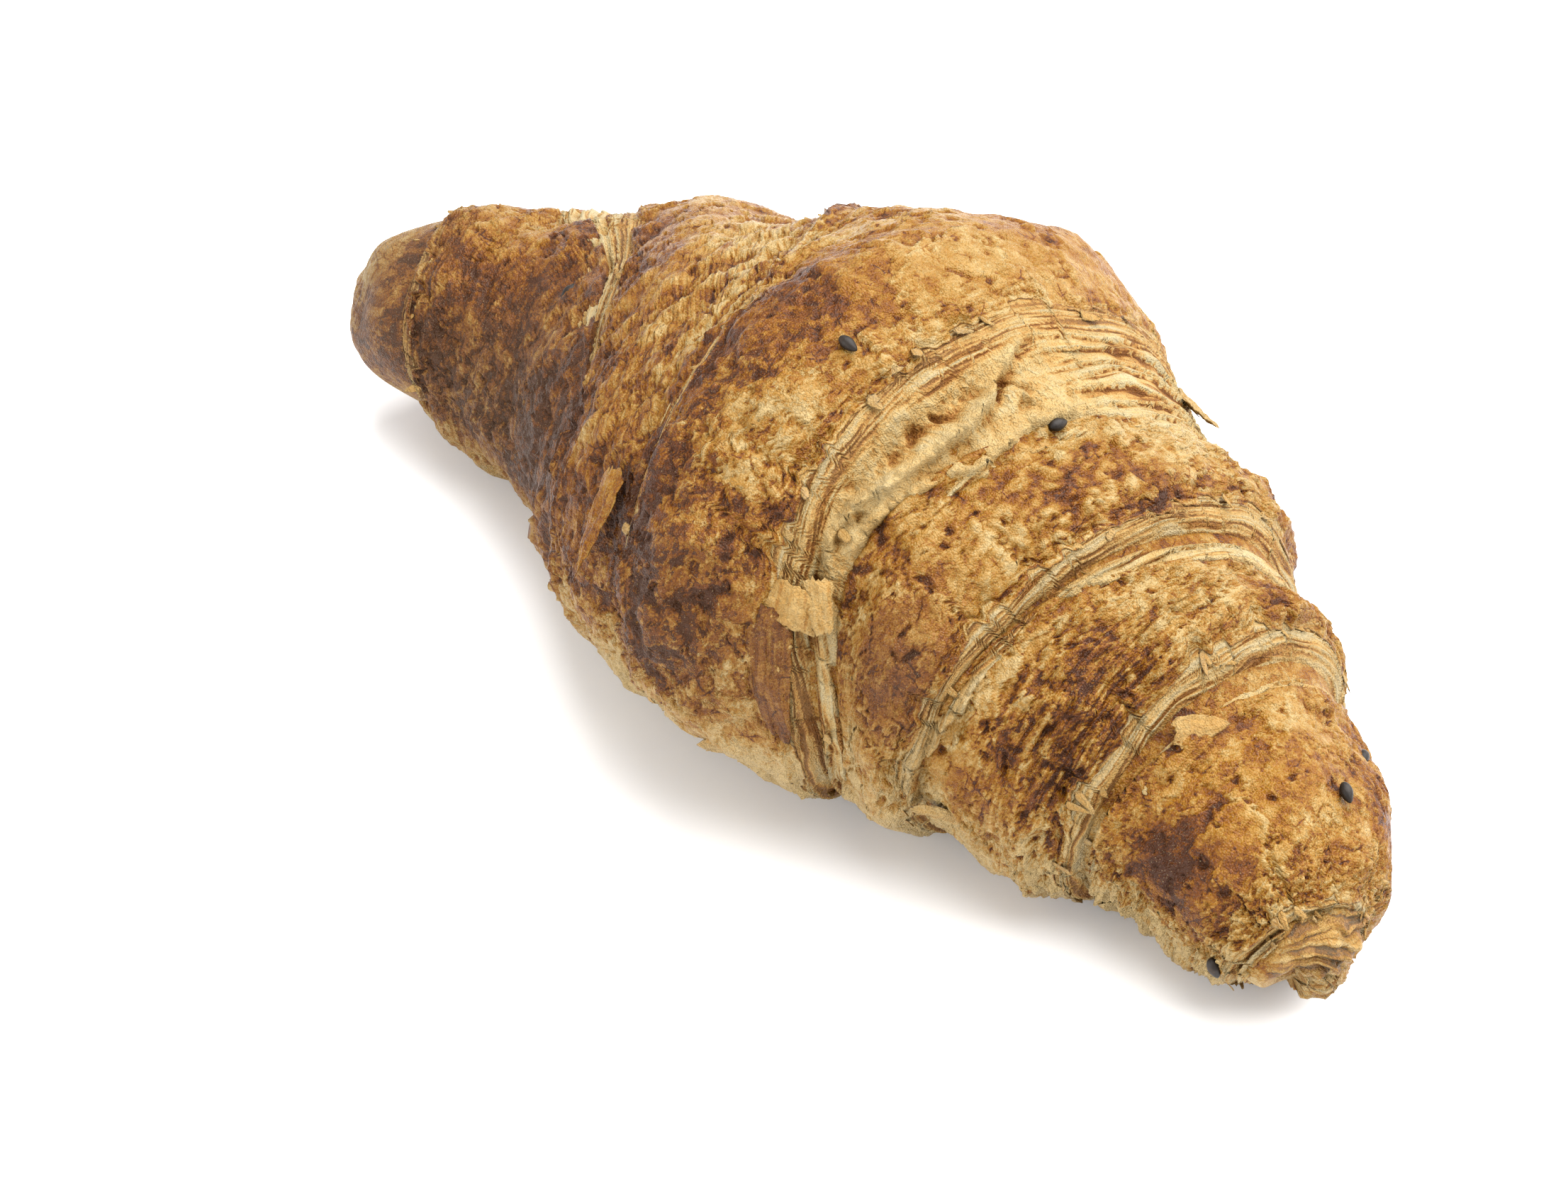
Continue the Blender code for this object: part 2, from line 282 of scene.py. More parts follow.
@dataclass(frozen=True)
class CutEdge:
    """One spiral edge of the rolled dough, with the face that opened beside it.

    The edge's places, the widths of its face and the strengths of the face's drops go by winding angle. The
    ledges are drops under the rim by share of the width.
    """

    side: Side
    places: Stations
    widths: Stations
    strengths: Stations
    ledges: Stations
    seed: int

    def place(self, winding: np.ndarray) -> np.ndarray:
        """Where the edge lies along the roll."""
        return through(self.places, winding)

    def width(self, winding: np.ndarray) -> np.ndarray:
        """How wide the opened face is."""
        return through(self.widths, winding)

    def drop(self, share: np.ndarray, winding: np.ndarray) -> np.ndarray:
        """How far the face lies under the rim.

        Args:
            share: Places down the face, as shares of its width.
            winding: Winding angles, one for each row of shares.

        Returns:
            Heights, which are negative.
        """
        shares, drops = np.array(self.ledges).T
        strength = (0.6 + 0.4 * np.minimum(self.width(winding) / 12, 1)) * through(self.strengths, winding)
        return np.interp(share, shares, drops) * strength[:, None]

    def ragged(self, winding: np.ndarray, length: np.ndarray, by: float) -> np.ndarray:
        """Where the crust breaks off along the edge, which is ragged.

        Args:
            winding: Winding angles.
            length: Distances along the rim.
            by: About how far the breaks stray.

        Returns:
            Places along the roll.
        """
        wave = Grain(self.seed).at(length / 5.0, 0.5)
        bite = step(0.15, 0.40, Grain(self.seed + 1).at(length / 2.6, 0.5))
        fine = Grain(self.seed + 2).at(length / 0.9, 0.5)
        return self.place(winding) + self.side.value * by * (wave - 1.5 * bite + 0.45 * fine)


BODY = PlainBody()
NEAR = CutEdge(
    Side.NEAR,
    (
        (-90, 10), (-6, 19), (50, 12), (136, 15), (285, 28), (396, 33), (512, 40), (722, 49), (860, 53.5),
        (1005, 66), (1090, 72.5), (1170, 79), (1265, 82), (1365, 81),
    ),
    ((-90, 2), (32, 9), (110, 15), (285, 5), (400, 4), (512, 10), (722, 6), (850, 9.5), (1005, 4), (1365, 2)),
    ((-90, 1.0), (90, 0.9), (140, 0.5), (230, 0.5), (380, 1.0), (1365, 1.0)),
    ((0.0, -0.2), (0.16, -0.4), (0.26, -1.2), (0.40, -2.7), (0.56, -1.2), (0.78, -2.2), (1.0, -1.6)),
    20,
)
FAR = CutEdge(
    Side.FAR,
    (
        (-90, 5), (0, -4), (86, -13), (120, -23), (285, -24), (396, -27), (467, -51), (645, -59), (724, -63),
        (824, -73.5), (1005, -76),
    ),
    ((-90, 2), (60, 5), (120, 6), (285, 4), (467, 9), (645, 4), (1005, 2)),
    ((-90, 1.0), (400, 1.0), (440, 0.2), (470, -0.2), (540, -0.1), (620, 0.8), (1005, 1.0)),
    ((0.0, -0.25), (0.25, -0.7), (0.6, -1.4), (1.0, -1.5)),
    24,
)


@dataclass(frozen=True)
class Patch:
    """Part of a strip's rings: a row for each ring, and a column for each point across."""

    place: np.ndarray
    lift: np.ndarray
    tone: np.ndarray
    pale: np.ndarray
    across: np.ndarray
    lined: np.ndarray
    fibrous: np.ndarray

    @staticmethod
    def plain(place: np.ndarray, lift: Any, tone: float, pale: Any, across: Any = 0.0) -> "Patch":
        """Points with hardly any layers drawn on them.

        Args:
            place: Distances along the roll.
            lift: Heights over the plain body.
            tone: The one tone of all points.
            pale: How much of opened dough shows.
            across: Distances from the cut edge.

        Returns:
            The points.
        """
        lined, fibrous = 0.3, 0.0
        columns = (place, lift, tone, pale, across, lined, fibrous)
        return Patch(*(np.asarray(column) + 0.0 * place for column in columns))

    def flipped(self) -> "Patch":
        """The same points in the other order across."""
        return Patch(*(getattr(self, item.name)[:, ::-1] for item in fields(self)))

    @staticmethod
    def joined(parts: list["Patch"]) -> "Patch":
        """Patches side by side as one."""
        return Patch(*(np.hstack([getattr(part, item.name) for part in parts]) for item in fields(Patch)))


@dataclass(frozen=True)
class Sleeve:
    """A closed skin made of rings of points, one after another, drawn together to a point at both ends."""

    points: np.ndarray
    marks: dict[str, np.ndarray]

    def build(self, name: str) -> bpy.types.Object:
        """Makes the mesh from a sphere with as many rings, whose points are moved into place.

        Args:
            name: The piece's name.

        Returns:
            The piece, smooth shaded, with one attribute for each mark.
        """
        rings, around = self.points.shape[:2]
        shape = bmesh.new()
        bmesh.ops.create_uvsphere(shape, u_segments=around, v_segments=rings + 1, radius=1)
        mesh = bpy.data.meshes.new(name)
        shape.to_mesh(mesh)
        shape.free()
        ball = np.empty(len(mesh.vertices) * 3, np.float32)
        mesh.vertices.foreach_get("co", ball)
        x, y, z = ball.reshape(-1, 3).T.astype(float)
        row = np.rint(np.arctan2(np.hypot(x, y), z) / math.pi * (rings + 1)).astype(int)
        column = np.rint(np.arctan2(y, x) / (2 * math.pi) * around).astype(int) % around
        placed = self.with_ends(self.points)[row, column]
        mesh.vertices.foreach_set("co", (placed * MM).astype(np.float32).ravel())
        for mark, values in self.marks.items():
            attribute = mesh.attributes.new(mark, "FLOAT", "POINT")
            attribute.data.foreach_set("value", self.with_ends(values)[row, column].astype(np.float32))
        mesh.update()
        self.turn_outwards(mesh)
        return placed_in_scene(mesh)

    @staticmethod
    def with_ends(values: np.ndarray) -> np.ndarray:
        """Adds a ring at each end that holds the mean of the ring beside it."""
        first, last = (np.broadcast_to(values[i].mean(axis=0), values[i].shape)[None] for i in (0, -1))
        return np.concatenate([first, values, last])

    @staticmethod
    def turn_outwards(mesh: bpy.types.Mesh) -> None:
        """Turns the faces round where they point inwards."""
        shape = bmesh.new()
        shape.from_mesh(mesh)
        if shape.calc_volume(signed=True) < 0:
            bmesh.ops.reverse_faces(shape, faces=shape.faces)
            shape.to_mesh(mesh)
        shape.free()


def placed_in_scene(mesh: bpy.types.Mesh) -> bpy.types.Object:
    """Puts a finished mesh in the scene as a smooth piece of the same name."""
    mesh.shade_smooth()
    made = bpy.data.objects.new(mesh.name, mesh)
    bpy.context.scene.collection.objects.link(made)
    return made


def piece_from(shape: bmesh.types.BMesh, name: str) -> bpy.types.Object:
    """Puts a finished shape in the scene as a smooth piece, and frees the shape."""
    mesh = bpy.data.meshes.new(name)
    shape.to_mesh(mesh)
    shape.free()
    return placed_in_scene(mesh)


@dataclass(frozen=True)
class Regions:
    """Blurred places on the roll, each as (place, angle, reach along, reach round, amount)."""

    spots: tuple[tuple[float, float, float, float, float], ...]

    def at(self, place: np.ndarray, winding: np.ndarray) -> np.ndarray:
        """Adds up the amounts.

        Args:
            place: Distances along the roll.
            winding: Winding angles in degrees.

        Returns:
            The sum at each place.
        """
        total = np.zeros(np.broadcast(place, winding).shape)
        for centre, angle, reach, spread, amount in self.spots:
            turned = (winding - angle + FULL_TURN / 2) % FULL_TURN - FULL_TURN / 2
            total += amount * np.exp(-(((place - centre) / reach) ** 2) - (turned / spread) ** 2)
        return total


# Browner (positive) or paler (negative) crust: partly real browning and partly painted light.
# Spots on the front side (angles about 8 to 34) are painted darker as shade away from the key light;
# spots low on the front and underneath (angles -34, -26, 270) are painted paler as light from the floor.
BROWNING_AND_PAINTED_LIGHT = Regions((
    (-66, 40, 10, 60, 0.20), (-52, 10, 16, 26, 0.26), (-34, 14, 9, 30, 0.20), (-50, 62, 9, 34, 0.18),
    (-46, 112, 5, 20, -0.10), (-34, 75, 6, 34, 0.08), (8, 112, 9, 34, -0.13), (-1, 72, 6, 16, 0.16),
    (2, 8, 10, 20, 0.13), (31, 76, 4.5, 22, 0.14), (31, 130, 7, 24, -0.18), (36.5, 92, 2.0, 34, 0.26),
    (29, 30, 6, 18, 0.06), (47, 84, 4.5, 34, 0.02), (46, 34, 4.5, 26, 0.22), (61, 22, 6.5, 20, 0.34),
    (66, 56, 6, 30, 0.06), (69, 92, 6, 26, 0.04), (-50, 20, 26, 40, 0.18), (-50, 66, 14, 40, 0.12),
    (-32, 20, 10, 40, 0.22), (-20, 16, 7, 34, 0.14), (0, 18, 13, 28, 0.42), (-10, 44, 8, 40, 0.10),
    (60, 30, 8, 30, 0.10), (8, 100, 12, 40, 0.08), (29, 28, 6, 18, 0.28), (46, 30, 6, 26, 0.16),
    (0, 270, 60, 42, -0.20), (-50, 180, 14, 40, 0.14), (2, 170, 10, 50, 0.08), (40, 180, 8, 40, 0.14),
    (66, 170, 10, 50, 0.16), (10, -34, 90, 20, -0.40), (62, -26, 12, 20, -0.26),
))
ASHEN = Regions((
    (-78, 60, 9, 120, 0.8), (-50, 10, 25, 44, 0.75), (6, 6, 14, 22, 0.30), (28, 26, 6, 18, 0.40),
    (66, 60, 9, 40, -0.15),
))
WRINKLED = Regions((
    (31, 84, 6.5, 32, 2.6), (-50, 60, 14, 50, 0.9), (-34, 70, 8, 60, 0.5), (45, 90, 5, 30, 0.9),
    (6, 112, 10, 30, -0.4), (28, 26, 6, 16, -0.6), (66, 56, 8, 30, 0.9),
))
FLAKED = Regions((
    (6, 118, 9, 24, -0.35), (4, 40, 10, 34, 0.75), (0, 0, 16, 22, 0.85), (-55, 10, 20, 40, 0.60),
    (46, 50, 6, 60, 0.55), (60, -10, 16, 30, 0.85), (66, 60, 7, 36, -0.5), (31, 84, 6, 30, -0.20),
    (72, 60, 6, 90, 0.60),
))
STREAKED = Regions((
    (-20, 70, 11, 100, 1.0), (-46, 10, 14, 40, 0.9), (-64, 60, 8, 60, 0.5), (46, 36, 6, 44, 2.0),
    (54, -20, 12, 24, 1.2), (33, 140, 10, 40, 0.6),
))
SHEETS = Regions((
    (28.5, 30, 5.5, 17, 1.1), (0, 36, 7, 16, 0.85), (8, 98, 8, 22, 0.8), (66, 52, 6.5, 20, 0.9),
))


@dataclass(frozen=True)
class Strand:
    """A thin sheet of dough left standing on an opened face, as (winding, place) pairs."""

    course: Stations
    height: float = 2.0
    half_width: float = 0.50
    wander: float = 0.55
    slope: float = 2.2
    crispness: float = 0.55
    shade: float = 0.22
    shade_at: float = 1.9
    shade_width: float = 0.8
    fades: tuple[float, float] = (10, 22)

    def at(self, place: np.ndarray, winding: np.ndarray) -> np.ndarray:
        """How strongly the strand shows, rising slowly to its crest and falling off steeply beyond it.

        Args:
            place: Distances along the roll.
            winding: Winding angles in degrees.

        Returns:
            Numbers from 0 to about 1, and below 0 in the shade beyond the crest.
        """
        start, end = self.course[0], self.course[-1]
        stray = self.wander * Grain(90).at(winding / 7, start[1])
        off = (place - through(self.course, winding) - stray) / self.half_width
        ends = step(0, self.fades[0], winding - start[0]) * step(0, self.fades[1], end[0] - winding)
        before, beyond = np.minimum(off, 0) / self.slope, np.maximum(off, 0) / self.crispness
        crest = np.exp(-(before**2)) * np.exp(-(beyond**2))
        shade = self.shade * np.exp(-(((off - self.shade_at) / self.shade_width) ** 2))
        torn = 0.5 * Grain(91).at(winding / 5, start[1]) + 0.5 * Grain(92).at(winding / 1.3, place / 0.8)
        return (crest - shade) * ends * (0.85 + torn)


STRANDS = (
    Strand(((34, 18), (48, 17), (57, 18), (63, 19), (74, 20), (82, 20), (92, 18), (106, 15.6), (112, 15.5))),
    Strand(((40, 19.2), (56, 20.0), (66, 21.5), (76, 23.5), (94, 24), (104, 25), (118, 27.5)), 1.9, 0.75),
    Strand(((60, 22.5), (80, 25.2), (100, 27.0), (125, 29.5)), 1.1, 0.5),
    Strand(((36, 15.6), (46, 14.6), (56, 15.0)), 1.2, 0.4),
    Strand(((338, 33.6), (350, 32.2), (362, 32.8), (376, 34.2), (392, 36.2), (410, 37.6)), 1.8),
    Strand(((342, 35.4), (354, 36.4), (366, 36.6), (380, 36.6), (396, 37.8)), 1.6),
    Strand(((420, 37), (440, 40), (460, 42.5), (480, 44.5)), 1.2),
    Strand(((708, 51.5), (730, 54), (760, 55.5), (790, 56.5)), 1.2),
)


@dataclass(frozen=True)
class Relief:
    """The fine shape and tone of baked crust and of an opened face: the height and size of each feature."""

    blister: float = 0.60
    blister_size: float = 5.2
    pucker: float = 0.34
    pucker_size: float = 2.2
    wrinkle: float = 0.14
    wrinkle_size: float = 1.15
    swell: float = 0.5
    swell_size: float = 13.0
    streak: float = 1.10
    streak_widths: tuple[float, float] = (2.1, 0.8)
    leaf: float = 0.30
    leaf_width: float = 2.7
    flake: float = 0.26
    flake_size: float = 7.0
    contours: float = 4.0
    sheet: float = 0.46
    sheet_size: float = 6.0
    peel: float = 0.30
    peel_size: float = 5.5
    pit: float = 0.40
    pit_size: float = 1.7
    split: float = 0.35
    split_size: float = 6.0
    tear_size: float = 1.9
    terrace_width: float = 0.85
    rim_band: tuple[float, float] = (4.2, 2.8)
    lamina: float = 0.46
    lamina_width: float = 0.46
    shelf: float = 0.85
    shelf_width: float = 1.7
    crumb_widths: tuple[float, float] = (7.0, 10.5)
    fibre: float = 0.42
    hole: float = 0.8

    def crust(self, place: np.ndarray, winding: np.ndarray, rim: np.ndarray) -> HeightAndTone:
        """Blisters, puckers, streaks, flaking layers, loose sheets, pits and cracks.

        Args:
            place: Distances along the roll.
            winding: Winding angles in degrees.
            rim: Distances from the nearer rim or crease.

        Returns:
            Heights, and tones from 0 for pale to 1 for burnt.
        """
        flat = BODY.skin(place, winding)
        bend = np.stack([Grain(seed).over(flat, 5.0, 2) for seed in (1, 2, 3)], axis=-1)
        bent = flat + 2.0 * bend
        dome = creased(Grain(4).over(bent, self.blister_size))
        pucker = creased(Grain(5).over(flat + bend, self.pucker_size))
        wrinkle = creased(Grain(13).over(bent, self.wrinkle_size))
        slow = Grain(12).over(flat, self.swell_size, 2)
        wrinkled = np.clip(0.35 + WRINKLED.at(place, winding), 0.1, 3.2)
        height = self.blister * dome + (self.pucker * pucker + self.wrinkle * wrinkle) * wrinkled
        height += self.swell * slow
        tone = 0.47 + 0.20 * slow - 0.12 * dome - (0.30 * pucker + 0.14 * wrinkle) * wrinkled
        # Adds the browning with its painted shade on the front and painted floor light low down.
        tone += BROWNING_AND_PAINTED_LIGHT.at(place, winding)
        for added in (
            self.streaks(place, winding, bend),
            self.leaves(place, winding, rim + 3 * slow, bend, wrinkle),
            self.flaking(place, winding, flat + 0.9 * bend),
            self.torn(place, winding, flat, bent),
        ):
            height, tone = height + added[0], tone + added[1]
        return height, np.minimum(tone, 0.68 + 0.75 * (tone - 0.68)) - 0.14 * step(1.4, 0.0, rim)

    def streaks(self, place: np.ndarray, winding: np.ndarray, bend: np.ndarray) -> HeightAndTone:
        """Long folds that run round the roll where the crust has stretched.

        Args:
            place: Distances along the roll.
            winding: Winding angles in degrees.
            bend: Noise that bends the folds, three numbers for each point.

        Returns:
            Heights and tones to add.
        """
        wide, narrow = self.streak_widths
        broad = Grain(17).at(place / wide + 0.5 * bend[..., 0], winding / 34, 0.5 * bend[..., 1])
        thin = Grain(27).at(place / narrow + 0.4 * bend[..., 0], winding / 26, 0.5 * bend[..., 2])
        streak = (creased(broad) + 0.35 * creased(thin)) * np.clip(STREAKED.at(place, winding), 0, 2.2)
        return self.streak * streak, -0.45 * streak

    def leaves(
        self, place: np.ndarray, winding: np.ndarray, rim: np.ndarray, bend: np.ndarray, wrinkle: np.ndarray
    ) -> HeightAndTone:
        """Long thin layers with edges that run round the roll, near the rims and where the crust is streaked.

        Args:
            place: Distances along the roll.
            winding: Winding angles in degrees.
            rim: Uneven distances from the nearer rim or crease.
            bend: Noise that bends the edges, three numbers for each point.
            wrinkle: Fine noise that frays them.

        Returns:
            Heights and tones to add.
        """
        sheaf = Grain(28).at(place / self.leaf_width + 0.3 * bend[..., 0], winding / 46, 0.3 * bend[..., 1])
        sheaf = 3.4 * sheaf + 0.5 * wrinkle
        level = np.floor(sheaf)
        part = sheaf - level
        amount = np.clip(0.8 * STREAKED.at(place, winding) + 0.8 * step(6.5, 1.5, rim), 0, 1.5)
        tint = 0.26 * Grain(29).at(level * 1.3 + 0.2, 0.5)
        # edge: a pale lip after each step, and painted shade at the foot of the next step up.
        edge = 0.22 * step(0.84, 1.0, part) - 0.17 * step(0.34, 0.08, part)
        return amount * self.leaf * (level + step(0.0, 0.14, part)), amount * (tint + edge)

    def flaking(self, place: np.ndarray, winding: np.ndarray, bent: np.ndarray) -> HeightAndTone:
        """Thin layers that have flaked off down to different depths, with pale ragged edges.

        Args:
            place: Distances along the roll.
            winding: Winding angles in degrees.
            bent: Points of the plain body, moved by noise.

        Returns:
            Heights and tones to add.
        """
        amount = np.clip(0.50 + FLAKED.at(place, winding), 0.05, 1.4)
        contour = Grain(18).over(bent, self.flake_size, 5, 0.52) * self.contours
        level = np.floor(contour)
        part = contour - level
        # The foot, just before the next step up, is painted darker as shade; the lip is the pale edge.
        lip, shaded_foot = step(0.30, 0.06, part), step(0.86, 1.0, part)
        tint = Grain(19).at(level * 1.7 + 0.4, 0.5)
        height = self.flake * (level + step(0.0, 0.13, part))
        return amount * height, amount * (0.22 * tint - 0.15 * lip + 0.20 * shaded_foot)

    def torn(
        self, place: np.ndarray, winding: np.ndarray, flat: np.ndarray, bent: np.ndarray
    ) -> HeightAndTone:
        """Loose sheets with cream edges, peeled islands, pits and cracks.

        Args:
            place: Distances along the roll.
            winding: Winding angles in degrees.
            flat: Points of the plain body.
            bent: The same points moved by noise.

        Returns:
            Heights and tones to add.
        """
        ragged = Grain(9).over(flat, self.tear_size, 3)
        spread = SHEETS.at(place, winding) + 0.5 * Grain(14).over(flat, self.sheet_size) + 0.25 * ragged
        sheet = step(0.47, 0.50, spread)
        lip = sheet * step(0.60, 0.50, spread)
        # The foot, on the crust just outside a loose sheet, is painted darker as the sheet's shadow.
        shaded_foot = step(0.38, 0.46, spread) * (1 - sheet)
        peeled = step(0.32, 0.35, Grain(8).over(flat, self.peel_size) + 0.5 * ragged) * (1 - 0.7 * sheet)
        pit = step(0.50, 0.56, Grain(15).over(flat, self.pit_size) + 0.45 * Grain(16).over(flat, 6.0))
        split = step(0.035, 0.0, np.abs(Grain(10).over(bent, self.split_size)))
        split = split * step(0.05, 0.2, Grain(11).over(flat, 9.0))
        height = self.sheet * sheet - self.peel * peeled - self.pit * pit - self.split * split
        tone = 0.12 * peeled + 0.30 * pit + 0.30 * split - 0.04 * sheet - 0.20 * lip + 0.16 * shaded_foot
        return height, tone

    def terraces(self, height: np.ndarray, tone: np.ndarray, rim: np.ndarray, over: float) -> HeightAndTone:
        """Cuts the crust near a rim down into the thin layers it is made of.

        Args:
            height: The crust's heights.
            tone: Its tones.
            rim: Distances from the rim.
            over: How far from the rim the layers reach.

        Returns:
            The new heights and tones.
        """
        near = step(over, 0.55 * over, rim)
        part = rim / self.terrace_width + 1.2 * height
        part = part - np.floor(part)
        return height - near * (0.30 - 0.42 * part**2), tone + near * (0.12 - 0.30 * part**3)

    def laminae(self, across: np.ndarray, length: np.ndarray, seed: int) -> HeightAndTone:
        """Thin layers seen edge-on beside the rim, of which some stand out.

        Args:
            across: Distances across the layers.
            length: Distances along the rim.
            seed: The first of the noise's seeds.

        Returns:
            Heights and tones.
        """
        layer = across / self.lamina_width + 0.8 * Grain(seed + 8).at(across / 1.1, 0.5)
        index = np.floor(layer)
        edge_on = (layer - index) ** 1.5
        lively = np.clip(0.70 + 1.0 * Grain(seed + 3).at(index * 0.71 + 0.3, length / 9), 0.10, 1.4)
        tint = Grain(seed + 4).at(index * 0.83 + 0.2, length / 16)
        tone = 0.27 + 0.80 * lively * (edge_on - 0.35) + 0.90 * tint
        return self.lamina * lively * (edge_on - 0.4), tone

    def shelves(self, across: np.ndarray, length: np.ndarray, lumps: np.ndarray, seed: int) -> HeightAndTone:
        """Wider layers that lie like shelves further from the rim, each with a pale lip and a dark foot.

        Args:
            across: Distances across the layers.
            length: Distances along the rim.
            lumps: Slow noise.
            seed: The first of the noise's seeds.

        Returns:
            Heights and tones.
        """
        shelf = across / self.shelf_width + 0.9 * Grain(seed + 5).at(across / 3.5, length / 30, 2.0)
        count = np.floor(shelf)
        slope = shelf - count
        # The foot, just under each shelf's drop, is painted dark as shade; the slope term paints lower parts
        # darker.
        lip, shaded_foot = step(0.78, 0.9, slope), step(0.20, 0.0, slope)
        tint = 0.45 * Grain(seed + 12).at(count * 0.77, length / 14)
        height = self.shelf * (slope**1.2 - step(0.93, 1.0, slope) - 0.4)
        return height, 0.54 + 0.20 * (slope - 0.5) + 0.24 * lip - 0.55 * shaded_foot + tint + 0.20 * lumps

    def opened(
        self, place: np.ndarray, winding: np.ndarray, down: np.ndarray, length: np.ndarray, edge: CutEdge
    ) -> tuple[np.ndarray, ...]:
        """Stacked laminae that follow the rim, stretched crumb where the face is wide, and strands.

        Args:
            place: Distances along the roll.
            winding: Winding angles in degrees.
            down: Distances from the rim down the face.
            length: Distances along the rim.
            edge: The cut edge beside the face.

        Returns:
            Heights, tones from 0 in the pits to 1 on the pale edges, distances across that follow the layers,
            and how much of laminae and of fibres shows.
        """
        seed, width = edge.seed + 20, edge.width(winding)
        out = edge.side.value * (place - edge.place(winding))
        across = out + 1.2 * Grain(seed).at(length / 13, out / 4)
        across = across + 0.25 * Grain(seed + 1).at(length / 4.0, out / 1.6)
        near = step(*self.rim_band, across + 1.2 * Grain(seed + 2).at(length / 7, 0.5))
        above = step(118, 96, winding % FULL_TURN)
        crumb = step(*self.crumb_widths, width) * above * step(-0.3, 1.5, width - down) * (1 - near)
        flow = Grain(seed + 6).at(length / 6, down / 6)
        fibre = 1 - 3.0 * np.abs(Grain(seed + 7).at(down / 1.5 + flow, length / 0.9 + 2.5 * flow))
        fibre = fibre * step(-0.35, 0.25, Grain(seed + 13).at(length / 3.2, down / 2.8))
        lumps = Grain(seed + 10).at(length / 4.0, down / 2.6 + flow)
        lumps = lumps + 0.3 * Grain(seed + 11).at(length / 1.9, down / 1.5)
        hole = step(0.10, 0.40, -lumps) * crumb
        strand = sum(s.height * s.at(place, winding) for s in STRANDS) if edge.side is Side.NEAR else 0 * down
        shown = np.clip(strand, 0, 1)
        laminae, shelves = self.laminae(across, length, seed), self.shelves(across, length, lumps, seed)
        own = 1 - near - crumb
        height = near * laminae[0] + own * shelves[0] + 0.30 * lumps * (1 - near) + strand
        height += (1 - 0.8 * shown) * (crumb * self.fibre * np.clip(fibre, -0.9, 1) - self.hole * hole)
        later = 0.18 * step(300, 640, winding) if edge.side is Side.NEAR else -0.22 * step(560, 660, winding)
        tone = near * laminae[1] + own * shelves[1] + later
        # The crumb's holes are painted darker as shade inside them.
        tone += crumb * (0.52 + 0.12 * fibre + 0.26 * lumps - 0.22 * hole)
        # The negative part of the strands, beyond each crest, is painted shade as well as a dip.
        tone = tone + (0.66 - tone) * 0.80 * shown**0.7 + 0.9 * np.minimum(strand, 0)
        # Painted shade: the face is darker just under the rim's lip.
        tone = tone - 0.10 * step(0.9, 0.2, down)
        return height, tone, across, (1 - crumb) * (1 - 0.5 * shown), crumb * (1 - shown)


